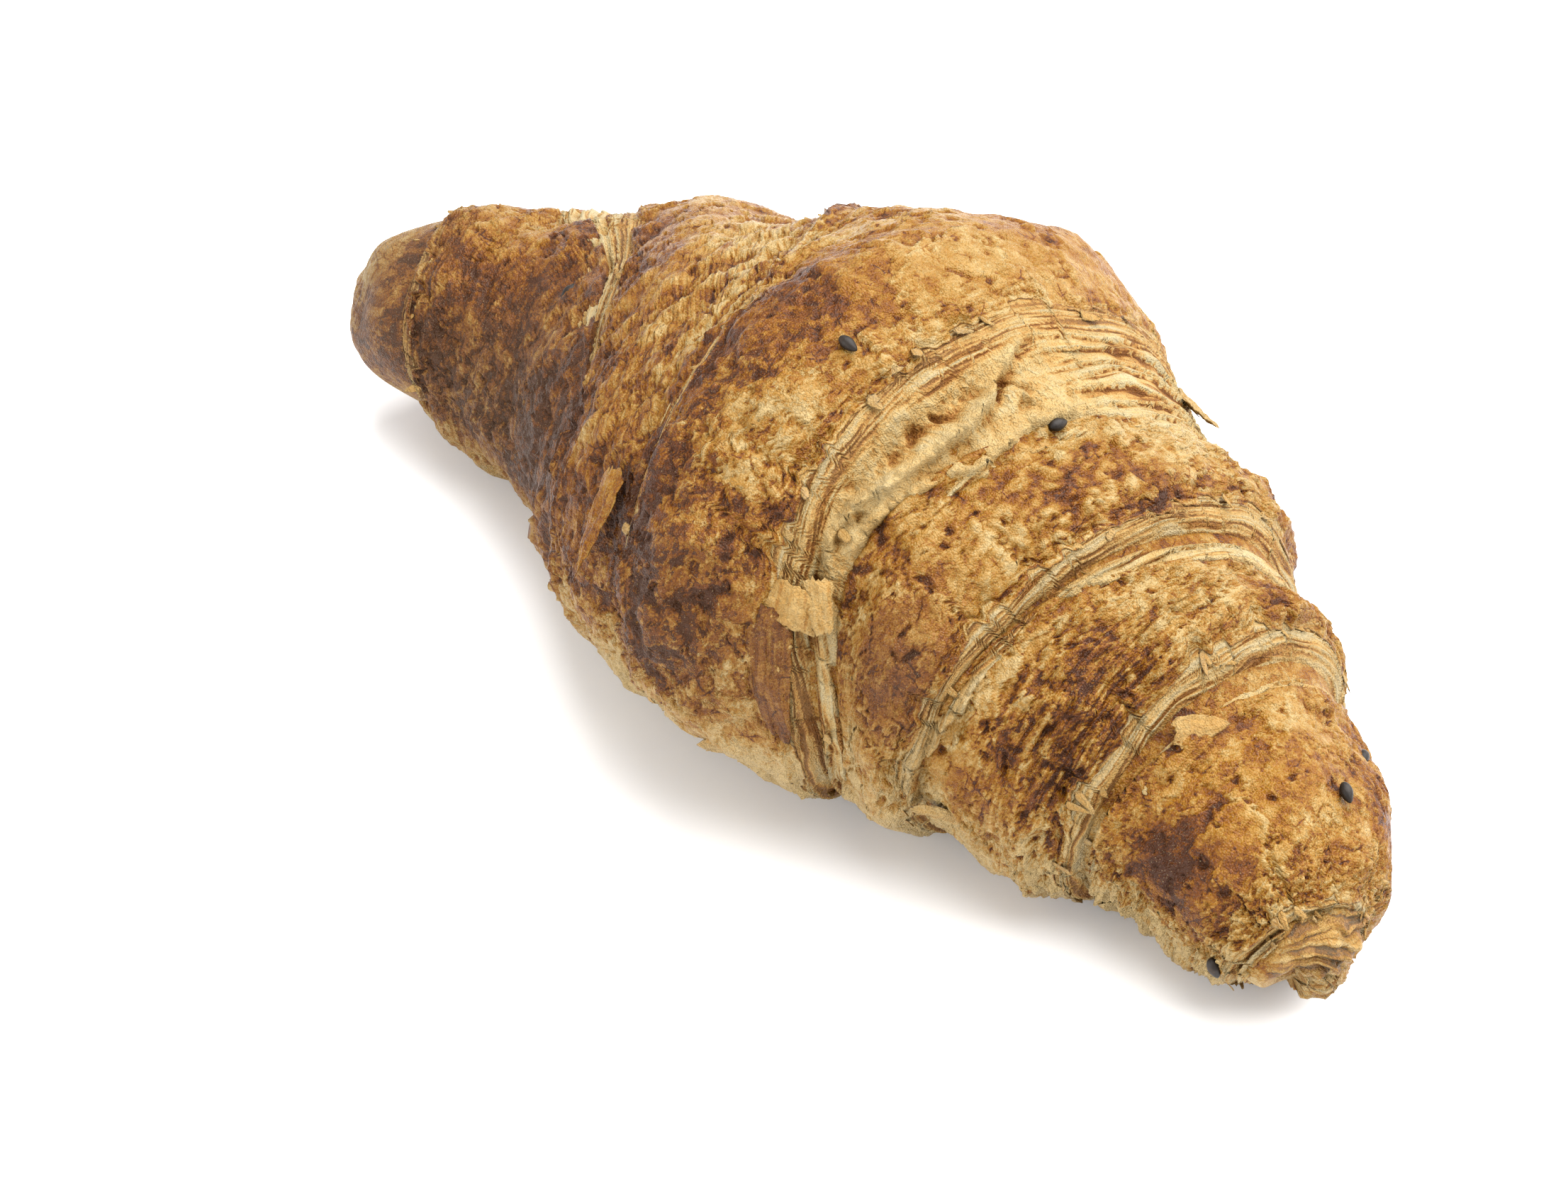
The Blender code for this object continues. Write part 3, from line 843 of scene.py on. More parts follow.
@dataclass
class Turn:
    """A strip of dough once round the roll, from one cut face to the next.

    The lip gives how far the points on the rim's rounding lie outwards, how high, and how pale they are. The
    strip reaches down to its depth, which is less where the roll has narrowed. Its hidden inner edge is
    tucked under the strip before it, and the middle of its underside sags.
    """

    name: str
    first: float
    last: float
    inner: CutEdge | None
    outer: tuple[CutEdge, ...]
    skin_columns: int
    face_columns: int
    spacing: float
    crown: float = 0.9
    terraced: float = 1.6
    relief: Relief = Relief()
    crease_lift: float = -1.0
    rim_lift: float = -0.2
    under_lift: float = -3.4
    dive: float = 1.6
    dive_over: float = 16.0
    straying: float = 0.75
    thickness: float = 0.34
    lip: tuple[tuple[float, ...], ...] = (
        (0.12, 0.16, 0.10, -0.10, -0.28),
        (-0.05, -0.13, -0.22, -0.32, -0.36),
        (0.2, 0.4, 0.6, 0.8, 0.8),
    )
    depth: float = 7.0
    tip_depth: float = 4.0
    narrows_from: float = 45.0
    narrows_over: float = 20.0
    winding_step: float = 0.25
    palest: float = 0.74
    base_relief: float = 0.22
    coarser_behind: float = 0.9
    coarser_below: float = 2.2
    tucked: float = 4.0
    sagging: float = 4.0

    def windings(self) -> np.ndarray:
        """Winding angles of the rings, closer together at the front and top than behind and below."""
        fine = np.arange(self.first, self.last, self.winding_step)
        angle = fine % FULL_TURN
        below = np.exp(-(((angle - 285) / 45) ** 2))
        behind = step(165, 200, angle) * step(300, 260, angle)
        spacing = self.spacing * (1 + self.coarser_behind * behind + self.coarser_below * below)
        steps = np.radians(self.winding_step) * self.radius(fine)[:-1] / spacing[:-1]
        count = np.concatenate([[0], np.cumsum(steps)])
        return np.interp(np.linspace(0, count[-1], int(count[-1])), count, fine)

    def radius(self, winding: np.ndarray) -> np.ndarray:
        """About how far the strip is from the roll's axis."""
        return 0.9 * BODY.bulk(self.outer[-1].place(winding))

    def deep(self, place: np.ndarray) -> np.ndarray:
        """Height of the strip's hidden underside over the plain body, which is below 0."""
        narrowed = np.clip((np.abs(place) - self.narrows_from) / self.narrows_over, 0, 1)
        return -self.depth + (self.depth - self.tip_depth) * narrowed

    def flank(self, edge: CutEdge, winding: np.ndarray, length: np.ndarray) -> Patch:
        """The lip, the opened face and the hidden root beside one cut edge, from the rim outwards.

        Args:
            edge: The cut edge.
            winding: Winding angles of the rings.
            length: Distances along the rim.

        Returns:
            The points.
        """
        out, thick = edge.side.value, self.thickness
        smooth, rim = edge.place(winding)[:, None], edge.ragged(winding, length, self.straying)[:, None]
        width = edge.width(winding)[:, None]
        share = np.linspace(0, 1, self.face_columns)[None, :]
        share = 0.6 * share + 0.4 * share**2
        reach = 1.15 * width + 0.5
        down = share * (reach + thick)
        face_place = rim + out * (down - thick)
        turned = np.broadcast_to(winding[:, None], down.shape)
        opened = self.relief.opened(face_place, turned, down, length[:, None] + 0 * down, edge)
        height, tone, across, lined, fibrous = opened
        drop = edge.drop(np.clip(out * (face_place - smooth) / width, 0, 1), winding)
        drop += (self.under_lift - drop - self.rim_lift) * step(1.0, 1.12, (down - thick) / width)
        # Painted shade: the face is darker the deeper it lies under the rim.
        tone = np.minimum(tone, self.palest) - 0.10 * np.clip(-drop - 0.5, 0, 1.6)
        face_lift = self.rim_lift + drop + height * step(0.0, 0.4, down) * step(1.0, 0.9, share)
        lip_out, lip_lift, lip_pale = np.array(self.lip)[:, None, :]
        lip_place, root = rim + out * lip_out, rim + out * (reach + 1.0)
        lip = Patch.plain(lip_place, self.rim_lift + lip_lift, 0.62, lip_pale, out * (lip_place - smooth))
        pale = 0.85 + 0.15 * step(2.0, 4.5, down)
        face = Patch(face_place, face_lift, tone, pale, across, lined, fibrous)
        return Patch.joined([lip, face, Patch.plain(root, self.deep(root), 0.3, 1.0)])

    def crust(self, winding: np.ndarray, length: np.ndarray) -> list[Patch]:
        """The crust across the strip and what leads up to it, up to the last rim.

        Args:
            winding: Winding angles of the rings.
            length: Distances along the rim.

        Returns:
            The opened face or hidden edge that leads up to the crust, and the crust.
        """
        edge = self.outer[-1]
        out, rim = edge.side.value, edge.ragged(winding, length, self.straying)[:, None]
        if self.inner is None:
            start = self.outer[0].ragged(winding, length, self.straying)[:, None]
            u = np.linspace(0, 1, self.skin_columns)[None, :]
            arch = (self.crown - self.rim_lift) * np.minimum((rim - start) / 20, 1)
            lift = self.rim_lift + arch * (1 - (2 * u - 1) ** 2)
            before = self.flank(self.outer[0], winding, length).flipped()
        else:
            below = winding - FULL_TURN
            start = (self.inner.place(below) + out * self.inner.width(below))[:, None]
            u = np.linspace(-0.2, 1, self.skin_columns)[None, :]
            arch = 1 - (2 * np.maximum(u, 0) - 1) ** 2
            lift = self.crease_lift + (self.rim_lift - self.crease_lift) * u
            lift = lift + (self.crown - (self.crease_lift + self.rim_lift) / 2) * arch
            root = start - out * self.tucked
            before = Patch.plain(root, self.deep(root), 0.4, 0.0)
        place = start + u * (rim - start)
        turned = np.broadcast_to(winding[:, None], place.shape)
        from_rim, from_start = np.abs(rim - place), np.abs(place - start)
        height, tone = self.relief.crust(place, turned, np.minimum(from_rim, from_start))
        height, tone = self.relief.terraces(height, tone, from_rim, self.terraced)
        if self.inner is None:
            height, tone = self.relief.terraces(height, tone, from_start, self.terraced)
        ends = step(0.0, 0.8, from_rim) * (step(0.0, 0.8, from_start) if self.inner is None else 1)
        flow = Grain(edge.seed + 3).at(length[:, None] / 12, place / 4)
        across = out * (place - edge.place(winding)[:, None]) + 0.8 * flow
        stretched = np.clip(STREAKED.at(place, turned), 0, 1)
        lined = 0.10 + 0.75 * stretched + 0.45 * step(3.5, 0.5, from_rim + 2 * flow)
        return [before, Patch(place, lift + height * ends, tone, 0 * place, across, lined, 0 * place)]

    def sleeve(self) -> Sleeve:
        """Lays out every ring of the strip.

        Returns:
            The strip's closed skin with its marks.
        """
        winding = self.windings()
        length = np.cumsum(np.radians(np.diff(winding, prepend=winding[0])) * self.radius(winding))
        whole = Patch.joined([*self.crust(winding, length), self.flank(self.outer[-1], winding, length)])
        middle = (whole.place[:, :1] + whole.place[:, -1:]) / 2
        whole = Patch.joined([whole, Patch.plain(middle, self.deep(middle) - self.sagging, 0.0, 0.0)])
        turned = np.broadcast_to(winding[:, None], whole.place.shape)
        ends = np.clip(np.minimum(winding - self.first, self.last - winding) / self.dive_over, 0, 1)
        shows = step(self.under_lift - 0.6, self.under_lift + 0.1, whole.lift)
        lift = whole.lift + (BODY.swelling(whole.place, turned) - self.dive * (1 - ends)[:, None]) * shows
        points = BODY.lifted(whole.place, turned, lift)
        base = 0.02 + self.base_relief * np.abs(Grain(31 + len(self.name)).over(points, 3.0, 2))
        points[..., 2] = np.maximum(points[..., 2], base)
        ash, worn = ASHEN.at(whole.place, turned), 0.5 + FLAKED.at(whole.place, turned)
        marks = {name: getattr(whole, name) for name in ("tone", "pale", "across", "lined", "fibrous")}
        return Sleeve(points, {**marks, "run": length[:, None] + 0 * ash, "ash": ash, "worn": worn})

    def build(self) -> bpy.types.Object:
        """Makes the strip."""
        return self.sleeve().build(self.name)


@dataclass
class InnerRoll:
    """The inner roll, which shows as the two blunt tips with the ends of its layers.

    The lifts are those at the far and at the near tip. The mouth, round which the near tip's layers coil, is
    given by the y and z of its middle.
    """

    rings: int = 200
    around: int = 200
    lifts: tuple[float, float] = (-1.3, -2.2)
    tip_lifts: tuple[float, float] = (1.3, 0.7)
    face_from: float = 12.0
    layers_from: float = 16.0
    layer: float = 1.7
    layer_relief: float = 1.55
    mouth: tuple[float, float] = (-15.0, 8.0)
    mouth_depth: float = 4.6
    mouth_size: float = 5.5
    relief: Relief = Relief()

    def build(self) -> bpy.types.Object:
        """Makes the inner roll.

        Returns:
            The piece.
        """
        end = BODY.meridian()[0][-1]
        share = np.linspace(-1, 1, self.rings + 2)[1:-1]
        place = (np.sign(share) * np.abs(share) ** 0.28 * end)[:, None]
        angle = np.linspace(0, FULL_TURN, self.around, endpoint=False)[None, :]
        place, angle = np.broadcast_arrays(place, angle)
        bare = np.clip((self.face_from - end + np.abs(place)) / self.face_from, 0, 1)
        flat = BODY.skin(place, angle)
        height, tone = self.relief.crust(place, angle, np.full(place.shape, 9.0))
        near = step(0, 10, place)
        layers = step(3.0, 8.0, np.abs(place) - (end - self.layers_from))
        away = np.hypot(flat[..., 1] - self.mouth[0], 1.15 * (flat[..., 2] - self.mouth[1]))
        coil = away / self.layer + 1.2 * Grain(70).over(flat, 6.5, 3)
        part = coil - np.floor(coil)
        torn = np.clip(0.9 + 0.9 * Grain(73).over(flat, 4.0), 0.3, 1.5)
        ledge = self.layer_relief * torn * (step(0.0, 0.14, part) * (1 - 0.9 * part) - 0.45)
        wave = 0.5 * (np.sin(np.pi * ((end - np.abs(place)) / 1.9 % 1)) - 0.6)
        height = height * (1 - 0.6 * layers) + layers * np.where(near > 0.5, ledge, wave)
        hollow = self.mouth_depth * np.exp(-((away / self.mouth_size) ** 2))
        hollow = near * layers * (hollow - 1.6 * Grain(72).over(flat, 7.0, 2))
        tint = Grain(71).at(np.floor(coil) * 0.77, angle / 60)
        # Layer ends: pale just past each step, painted darker as shade low before the next step, plus a tint.
        stacked = 0.62 - 0.32 * step(0.5, 0.12, part) + 0.32 * step(0.72, 1.0, part) + 0.5 * tint
        tone = tone * (1 - layers * near) + layers * near * stacked - 0.10 * layers * (1 - near)
        start, tip = (pair[0] + (pair[1] - pair[0]) * near for pair in (self.lifts, self.tip_lifts))
        lift = start + (tip - start) * bare + height * bare + BODY.swelling(place, angle) - hollow
        points = BODY.lifted(place, angle, lift)
        points[..., 2] = np.maximum(points[..., 2], 0.3)
        run = 15 * np.sin(np.radians(angle / 2))
        marks = {"tone": tone, "pale": 0.2 * layers * near, "across": coil * self.layer, "run": run}
        marks.update(lined=0.7 * layers, fibrous=0 * coil, ash=ASHEN.at(place, angle), worn=0.8 + 0 * coil)
        return Sleeve(points, marks).build("inner_roll")


@dataclass(frozen=True)
class Scale:
    """A thin curled flake, rooted at one end and free at the other.

    It lies at a place and angle on the roll, at its lift over the plain body. Its heading is the angle that
    it makes with the roll, and its rise is how high the free end curls.
    """

    place: float
    angle: float
    length: float
    width: float
    heading: float
    rise: float
    lift: float
    tone: float
    pale: float
    segments: int = 40
    rings: int = 14
    thickness: float = 0.5
    pointed: float = 0.45
    ash: float = 0.0

    def add_to(self, shape: bmesh.types.BMesh) -> None:
        """Adds the flake to a shape.

        Args:
            shape: The shape, which has a layer for each mark.
        """
        sizes = {"u_segments": self.segments, "v_segments": self.rings, "radius": 1}
        made = bmesh.ops.create_uvsphere(shape, **sizes)["verts"]
        ball = np.array([vert.co for vert in made])
        ring = np.hypot(ball[:, 0], ball[:, 1])
        round_it = np.arctan2(ball[:, 1], ball[:, 0])
        square = 1 / np.maximum(np.maximum(np.abs(np.cos(round_it)), np.abs(np.sin(round_it))), 0.8)
        torn = 1 + 0.22 * Grain(80).at(round_it * 1.6, self.place, self.angle) * ring**2
        torn = torn + 0.12 * Grain(81).at(round_it * 5.0, self.place, self.angle) * ring**2
        torn = torn + 0.12 * Grain(83).at(round_it * 3.7, ring * 9, self.angle) * ring**4
        u = 0.5 + 0.5 * ring * np.cos(round_it) * square * torn
        v = ring * np.sin(round_it) * square * torn * (1 - self.pointed * np.clip(u, 0, 1) ** 2)
        wave = 0.11 * self.width * Grain(82).at(u * 5, v * 3, self.place)
        curl = self.rise * np.clip(u, 0, 2) ** 2 - 0.10 * self.width * v**2
        z = ball[:, 2] * self.thickness / 2 + curl + wave
        along, around = (u - 0.35) * self.length, v * self.width / 2
        turned = math.radians(self.heading)
        place = self.place + along * math.cos(turned) - around * math.sin(turned)
        swing = (along * math.sin(turned) + around * math.cos(turned)) / (0.9 * BODY.bulk(self.place))
        points = BODY.lifted(place, self.angle + np.degrees(swing), self.lift + z) * MM
        tone = self.tone + (0.22 if self.pale > 0.5 else -0.35) * np.maximum(0.0, ring - 0.75)
        marks = (tone, self.pale, around, along + self.place, 0.4, 0.0, self.ash, 0.6)
        columns = (np.broadcast_to(mark, tone.shape) for mark in marks)
        layers = [shape.verts.layers.float[name] for name in MARKS]
        for vert, point, *values in zip(made, points, *columns):
            vert.co = point
            for layer, value in zip(layers, values):
                vert[layer] = value


@dataclass
class Flakes:
    """The large flakes that show, and the many small ones along the rims.

    The small ones start at the first winding and end at the last one of the near edge or of the far edge.
    Where the windings are hidden, underneath, there are none.
    """

    large: tuple[Scale, ...] = (
        Scale(-10.3, 25, 13.0, 3.8, -80.0, 1.8, 0.9, 0.60, 0.0, pointed=0.8),
        Scale(15.8, 13, 17.0, 5.8, -78.0, 0.3, 0.05, 0.70, 0.0, thickness=0.6, pointed=0.6, ash=0.4),
        Scale(16.6, 26, 5.4, 6.0, 100.0, 0.2, 0.05, 0.36, 0.7),
        Scale(18.6, 32, 6.0, 3.6, -60.0, 0.3, -0.1, 0.42, 0.8),
        Scale(55.3, 67, 6.4, 3.4, 60.0, 0.3, -0.45, 0.40, 0.6, pointed=0.9),
        Scale(24.5, 150, 5.0, 3.0, 20.0, 1.0, -0.4, 0.20, 0.2),
        Scale(12.0, -20, 7.0, 4.0, 200.0, 1.4, 0.2, 0.15, 0.2),
        Scale(36.0, -14, 6.0, 3.6, 160.0, 1.8, -0.8, 0.50, 0.8),
        Scale(39.5, -8, 5.0, 2.6, 215.0, 1.4, -0.8, 0.50, 0.8),
    )
    count: int = 190
    first: float = -40.0
    last: tuple[float, float] = (1260.0, 930.0)
    on_near_edge: float = 0.72
    hidden: tuple[float, float] = (205.0, 300.0)

    def small(self) -> list[Scale]:
        """Lays out the small flakes, mostly along the rims that show."""
        chance = np.random.default_rng(5)
        made = []
        for _ in range(self.count):
            edge = NEAR if chance.random() < self.on_near_edge else FAR
            winding = chance.uniform(self.first, self.last[0] if edge is NEAR else self.last[1])
            if self.hidden[0] < winding % FULL_TURN < self.hidden[1]:
                continue
            on_face = chance.random() < 0.5
            share = chance.uniform(0.05, 0.95) if on_face else chance.normal(-0.02, 0.03)
            place = float(edge.place(winding) + edge.side.value * share * edge.width(winding))
            drop = edge.drop(np.array([[max(share, 0)]]), np.array([winding]))
            depth = float(drop[0, 0]) if on_face else 0.0
            length, width = chance.uniform(0.9, 3.2), chance.uniform(0.6, 1.7)
            heading = (0 if edge is NEAR else 180) + chance.normal(0, 30) + (70 if on_face else 20)
            made.append(Scale(
                place, winding, length, width, heading, chance.uniform(0.1, 0.8), depth - 0.15,
                chance.uniform(0.30, 0.62), 0.6, 10, 4, 0.14, chance.uniform(0.2, 0.9),
            ))
        return made

    def build(self) -> bpy.types.Object:
        """Makes all flakes as one piece."""
        shape = bmesh.new()
        for mark in MARKS:
            shape.verts.layers.float.new(mark)
        for scale in (*self.large, *self.small()):
            scale.add_to(shape)
        return piece_from(shape, "flakes")


@dataclass
class Seeds:
    """Seeds baked into the crust, as (place, angle, height over the plain body)."""

    places: tuple[Triple, ...] = (
        (6, 74, 0.9), (25, 96, -0.6), (65.5, 150, -0.6), (77, 178, 0.2), (70, -6, 0.7), (70, 114, 1.0),
        (-46, 62, -0.1), (-32, 150, 0.4), (44, 205, -0.3), (-10, 230, 0.6),
    )
    length: float = 2.6
    width: float = 1.5
    point: float = 0.35
    turn_between: float = 74.5

    def build(self) -> bpy.types.Object:
        """Makes the seeds as one piece."""
        shape = bmesh.new()
        for i, (place, angle, lift) in enumerate(self.places):
            stand = BODY.standing(place, angle, lift - 0.05, i * self.turn_between)
            for vert in bmesh.ops.create_icosphere(shape, subdivisions=3, radius=0.5)["verts"]:
                across = self.width * (1 - self.point * max(0.0, vert.co.x * 2))
                local = Vector((vert.co.x * self.length, vert.co.y * across, vert.co.z * across))
                vert.co = stand @ local * MM
        return piece_from(shape, "seeds")


def seen(red: int, green: int, blue: int) -> tuple[float, float, float, float]:
    """A shader colour that looks like a screen colour, 0 to 255, where the studio light falls full on it."""
    return (*(LIGHT_LEVEL * (value / 255) ** 2.2 for value in (red, green, blue)), 1.0)


@dataclass
class Bench:
    """A material's node tree, with short ways to add to it."""

    name: str

    def __post_init__(self) -> None:
        """Starts the material with its Principled shader."""
        self.material = bpy.data.materials.new(self.name)
        self.material.use_nodes = True
        self.tree = self.material.node_tree
        self.shader = self.tree.nodes["Principled BSDF"]

    def link(self, value: Any, name: str) -> None:
        """Leads a socket to one of the shader's inputs."""
        self.tree.links.new(value, self.shader.inputs[name])

    def add(self, kind: str, inputs: dict[Any, Any] | None = None, **settings: Any) -> bpy.types.Node:
        """Adds a node.

        Args:
            kind: The node's type name, without the leading ShaderNode.
            inputs: Values or output sockets for its inputs, by name or index.
            settings: Its own settings.

        Returns:
            The node.
        """
        node = self.tree.nodes.new("ShaderNode" + kind)
        for key, value in settings.items():
            setattr(node, key, value)
        for key, value in (inputs or {}).items():
            if isinstance(value, bpy.types.NodeSocket):
                self.tree.links.new(value, node.inputs[key])
            else:
                node.inputs[key].default_value = value
        return node

    def maths(self, operation: str, *values: Any) -> bpy.types.NodeSocket:
        """Adds a sum of one to three values and gives its result."""
        return self.add("Math", dict(enumerate(values)), operation=operation).outputs[0]

    def times(self, first: Any, second: Any) -> bpy.types.NodeSocket:
        """Multiplies two values."""
        return self.maths("MULTIPLY", first, second)

    def without(self, value: Any) -> bpy.types.NodeSocket:
        """Takes a value from 1."""
        return self.maths("SUBTRACT", 1.0, value)

    def total(self, start: Any, *terms: tuple[Any, float]) -> bpy.types.NodeSocket:
        """Adds up values, each given with what it is multiplied by."""
        for value, factor in terms:
            start = self.maths("MULTIPLY_ADD", value, factor, start)
        return start

    def between(self, value: Any, low: float, high: float) -> bpy.types.NodeSocket:
        """A smooth rise from 0 where the value is low to 1 where it is high."""
        inputs = {"Value": value, "From Min": low, "From Max": high}
        return self.add("MapRange", inputs, interpolation_type="SMOOTHSTEP").outputs[0]

    def ramp(self, value: Any, stops: tuple[tuple[float, Any], ...]) -> bpy.types.NodeSocket:
        """Adds a colour ramp.

        Args:
            value: What it reads.
            stops: (position, colour) pairs.

        Returns:
            The colour.
        """
        node = self.add("ValToRGB", {0: value})
        while len(node.color_ramp.elements) < len(stops):
            node.color_ramp.elements.new(0.5)
        for element, (position, colour) in zip(node.color_ramp.elements, stops):
            element.position, element.color = position, colour
        return node.outputs[0]

    def mix(self, share: Any, first: Any, second: Any) -> bpy.types.NodeSocket:
        """Mixes two colours."""
        node = self.add("Mix", data_type="RGBA")
        for socket, value in zip((node.inputs[0], node.inputs[6], node.inputs[7]), (share, first, second)):
            if isinstance(value, bpy.types.NodeSocket):
                self.tree.links.new(value, socket)
            else:
                socket.default_value = value
        return node.outputs[2]

    def centred(self, place: Any, scale: float, detail: float, rough: float = 0.55) -> bpy.types.NodeSocket:
        """Adds noise about zero at a place."""
        inputs = {"Vector": place, "Scale": scale, "Detail": detail, "Roughness": rough}
        return self.maths("SUBTRACT", self.add("TexNoise", inputs).outputs[0], 0.5)

    def noise(self, scale: float, detail: float = 4.0, rough: float = 0.55) -> bpy.types.NodeSocket:
        """Adds noise about zero, with features about 1 / scale metres across."""
        return self.centred(self.add("TexCoord").outputs["Object"], scale, detail, rough)

    def drawn(self, across: Any, run: Any, wide: float, long: float, detail: float) -> bpy.types.NodeSocket:
        """Adds noise about zero that is drawn out along the layers.

        Args:
            across: Distances across the layers in millimetres.
            run: Distances along them.
            wide: How wide the features are, in millimetres.
            long: How long they are.
            detail: How many finer layers of noise are added.

        Returns:
            The noise.
        """
        parts = [self.maths("DIVIDE", across, wide), self.maths("DIVIDE", run, long)]
        return self.centred(self.add("CombineXYZ", dict(enumerate(parts))).outputs[0], 1.0, detail)

    def cells(self, scale: float, feature: str, strayed: float = 0.0) -> bpy.types.NodeSocket:
        """Adds a cell texture and gives its distance.

        Args:
            scale: Cells in a metre.
            feature: What the distance is to, as the node names it.
            strayed: How far noise bends it, in metres.

        Returns:
            The distance.
        """
        place = self.add("TexCoord").outputs["Object"]
        if strayed:
            bend = self.add("TexNoise", {"Vector": place, "Scale": scale * 0.9, "Detail": 1.0}).outputs[1]
            moved = self.add("VectorMath", {0: bend, 1: (strayed,) * 3, 2: place}, operation="MULTIPLY_ADD")
            place = moved.outputs[0]
        return self.add("TexVoronoi", {"Vector": place, "Scale": scale}, feature=feature).outputs["Distance"]

    def mark(self, name: str) -> bpy.types.NodeSocket:
        """Reads one of the piece's attributes."""
        return self.add("Attribute", attribute_name=name).outputs["Fac"]

    def bump(self, height: Any, distance: float, strength: float) -> None:
        """Leads a height to the shader as bumps."""
        node = self.add("Bump", {"Strength": strength, "Distance": distance, "Height": height})
        self.link(node.outputs[0], "Normal")


@dataclass(frozen=True)
class BakedDough:
    """Golden to burnt crust, and opened dough with its thin layers where a piece is marked pale."""

    name: str = "baked_dough"
    crust: tuple[tuple[float, Any], ...] = (
        (0.00, seen(250, 214, 150)),
        (0.20, seen(233, 186, 114)),
        (0.40, seen(211, 154, 76)),
        (0.56, seen(184, 119, 48)),
        (0.72, seen(148, 84, 30)),
        (0.86, seen(112, 62, 27)),
        (1.00, seen(72, 43, 24)),
    )
    dough: tuple[tuple[float, Any], ...] = (
        (0.00, seen(150, 92, 40)),
        (0.20, seen(210, 147, 80)),
        (0.42, seen(245, 194, 120)),
        (0.68, seen(255, 218, 152)),
        (1.00, seen(255, 231, 178)),
    )
    grit: tuple[float, ...] = seen(240, 210, 160)
    ashen: tuple[float, ...] = seen(116, 90, 50)
    darkest: float = 0.93
    bump: float = 0.0007
    bump_strength: float = 0.85
    shine: float = 0.20

    def cracks(self, bench: Bench, broad: Any) -> bpy.types.NodeSocket:
        """Fine cracks, in some places only.

        Args:
            bench: The material in the making.
            broad: Noise that is high where the cracks are.

        Returns:
            1 in a crack and 0 elsewhere.
        """
        edges = bench.cells(330, "DISTANCE_TO_EDGE", 0.0016)
        return bench.times(bench.without(bench.between(edges, 0.0, 0.05)), bench.between(broad, 0.0, 0.16))

    def pits(self, bench: Bench) -> bpy.types.NodeSocket:
        """Small round pits, in some places only, as 1 in a pit and 0 elsewhere."""
        pit = bench.without(bench.between(bench.cells(620, "F1", 0.0008), 0.10, 0.24))
        return bench.times(pit, bench.between(bench.noise(520, 2), 0.02, 0.14))

    def make(self) -> bpy.types.Material:
        """Builds the material.

        Returns:
            The material.
        """
        bench = Bench(self.name)
        tone, pale, across, run, lined, fibrous, ash, worn = (bench.mark(name) for name in MARKS)
        broad, mottle, fine = bench.noise(330, 3, 0.6), bench.noise(1300, 2, 0.65), bench.noise(4800, 0)
        leaf = bench.times(bench.times(bench.drawn(across, run, 0.42, 9.0, 1), 2.0), lined)
        gap = bench.times(bench.between(bench.drawn(across, run, 0.62, 12.0, 1), 0.09, 0.15), lined)
        thread = bench.times(bench.drawn(across, run, 1.1, 0.45, 2), fibrous)
        crack, pit = self.cracks(bench, broad), self.pits(bench)
        wear = bench.total(0.25, (worn, 0.75))
        sheets, bits = bench.noise(250, 5, 0.66), bench.noise(640, 4, 0.66)
        sheet = bench.times(bench.between(sheets, 0.000, 0.012), wear)
        bit = bench.times(bench.between(bits, 0.020, 0.034), wear)
        frayed = bench.between(bench.maths("ABSOLUTE", bench.maths("SUBTRACT", sheets, 0.010)), 0.014, 0.0)
        frayed = bench.times(frayed, wear)
        flaked = bench.total(tone, (sheet, -0.14), (bit, -0.13), (frayed, -0.16), (fine, 0.24), (leaf, 0.40))
        varied = bench.total(flaked, (broad, 0.18), (mottle, 0.16), (crack, 0.30), (pit, 0.20), (gap, 0.14))
        varied = bench.maths("MINIMUM", bench.total(-0.07, (varied, 1.22)), self.darkest)
        opened = bench.total(tone, (broad, 0.24), (mottle, 0.24), (fine, 0.24), (leaf, 0.46), (gap, -0.34))
        opened = bench.total(-0.06, (bench.total(opened, (thread, 0.7), (bit, 0.08)), 1.35))
        colour = bench.mix(pale, bench.ramp(varied, self.crust), bench.ramp(opened, self.dough))
        grit = bench.between(bench.noise(5200, 1), 0.17, 0.22)
        colour = bench.mix(bench.times(grit, 0.4), colour, self.grit)
        colour = bench.mix(bench.times(ash, 0.34), colour, self.ashen)
        duller, darker = bench.total(1.06, (ash, -0.10)), bench.total(1.0, (ash, -0.08))
        tinted = bench.add("HueSaturation", {"Saturation": duller, "Value": darker, "Color": colour})
        bench.link(tinted.outputs[0], "Base Color")
        matt = bench.total(0.40, (pale, 0.26), (mottle, 0.5), (ash, 0.12), (worn, 0.08))
        bench.link(matt, "Roughness")
        rough = bench.total(0.5, (mottle, 0.5), (fine, 0.40), (broad, 0.4), (sheet, 0.22), (bit, 0.16))
        height = bench.total(rough, (gap, -0.30), (leaf, 0.35), (thread, 0.9))
        bench.bump(height, self.bump, self.bump_strength)
        bench.shader.inputs["Specular IOR Level"].default_value = self.shine
        return bench.material


@dataclass(frozen=True)
class SeedCoat:
    """Dark, slightly glossy seed coats."""

    name: str = "seed_coat"
    roughness: float = 0.5
    shine: float = 0.25
    stops: tuple[tuple[float, Any], ...] = (
        (0.2, seen(34, 28, 24)),
        (0.6, seen(58, 46, 36)),
        (1.0, seen(112, 80, 54)),
    )

    def make(self) -> bpy.types.Material:
        """Builds the material."""
        bench = Bench(self.name)
        mottle = bench.maths("ADD", bench.noise(700), 0.5)
        bench.link(bench.ramp(mottle, self.stops), "Base Color")
        bench.shader.inputs["Roughness"].default_value = self.roughness
        bench.shader.inputs["Specular IOR Level"].default_value = self.shine
        bench.bump(bench.noise(2600), 0.0001, 0.5)
        return bench.material


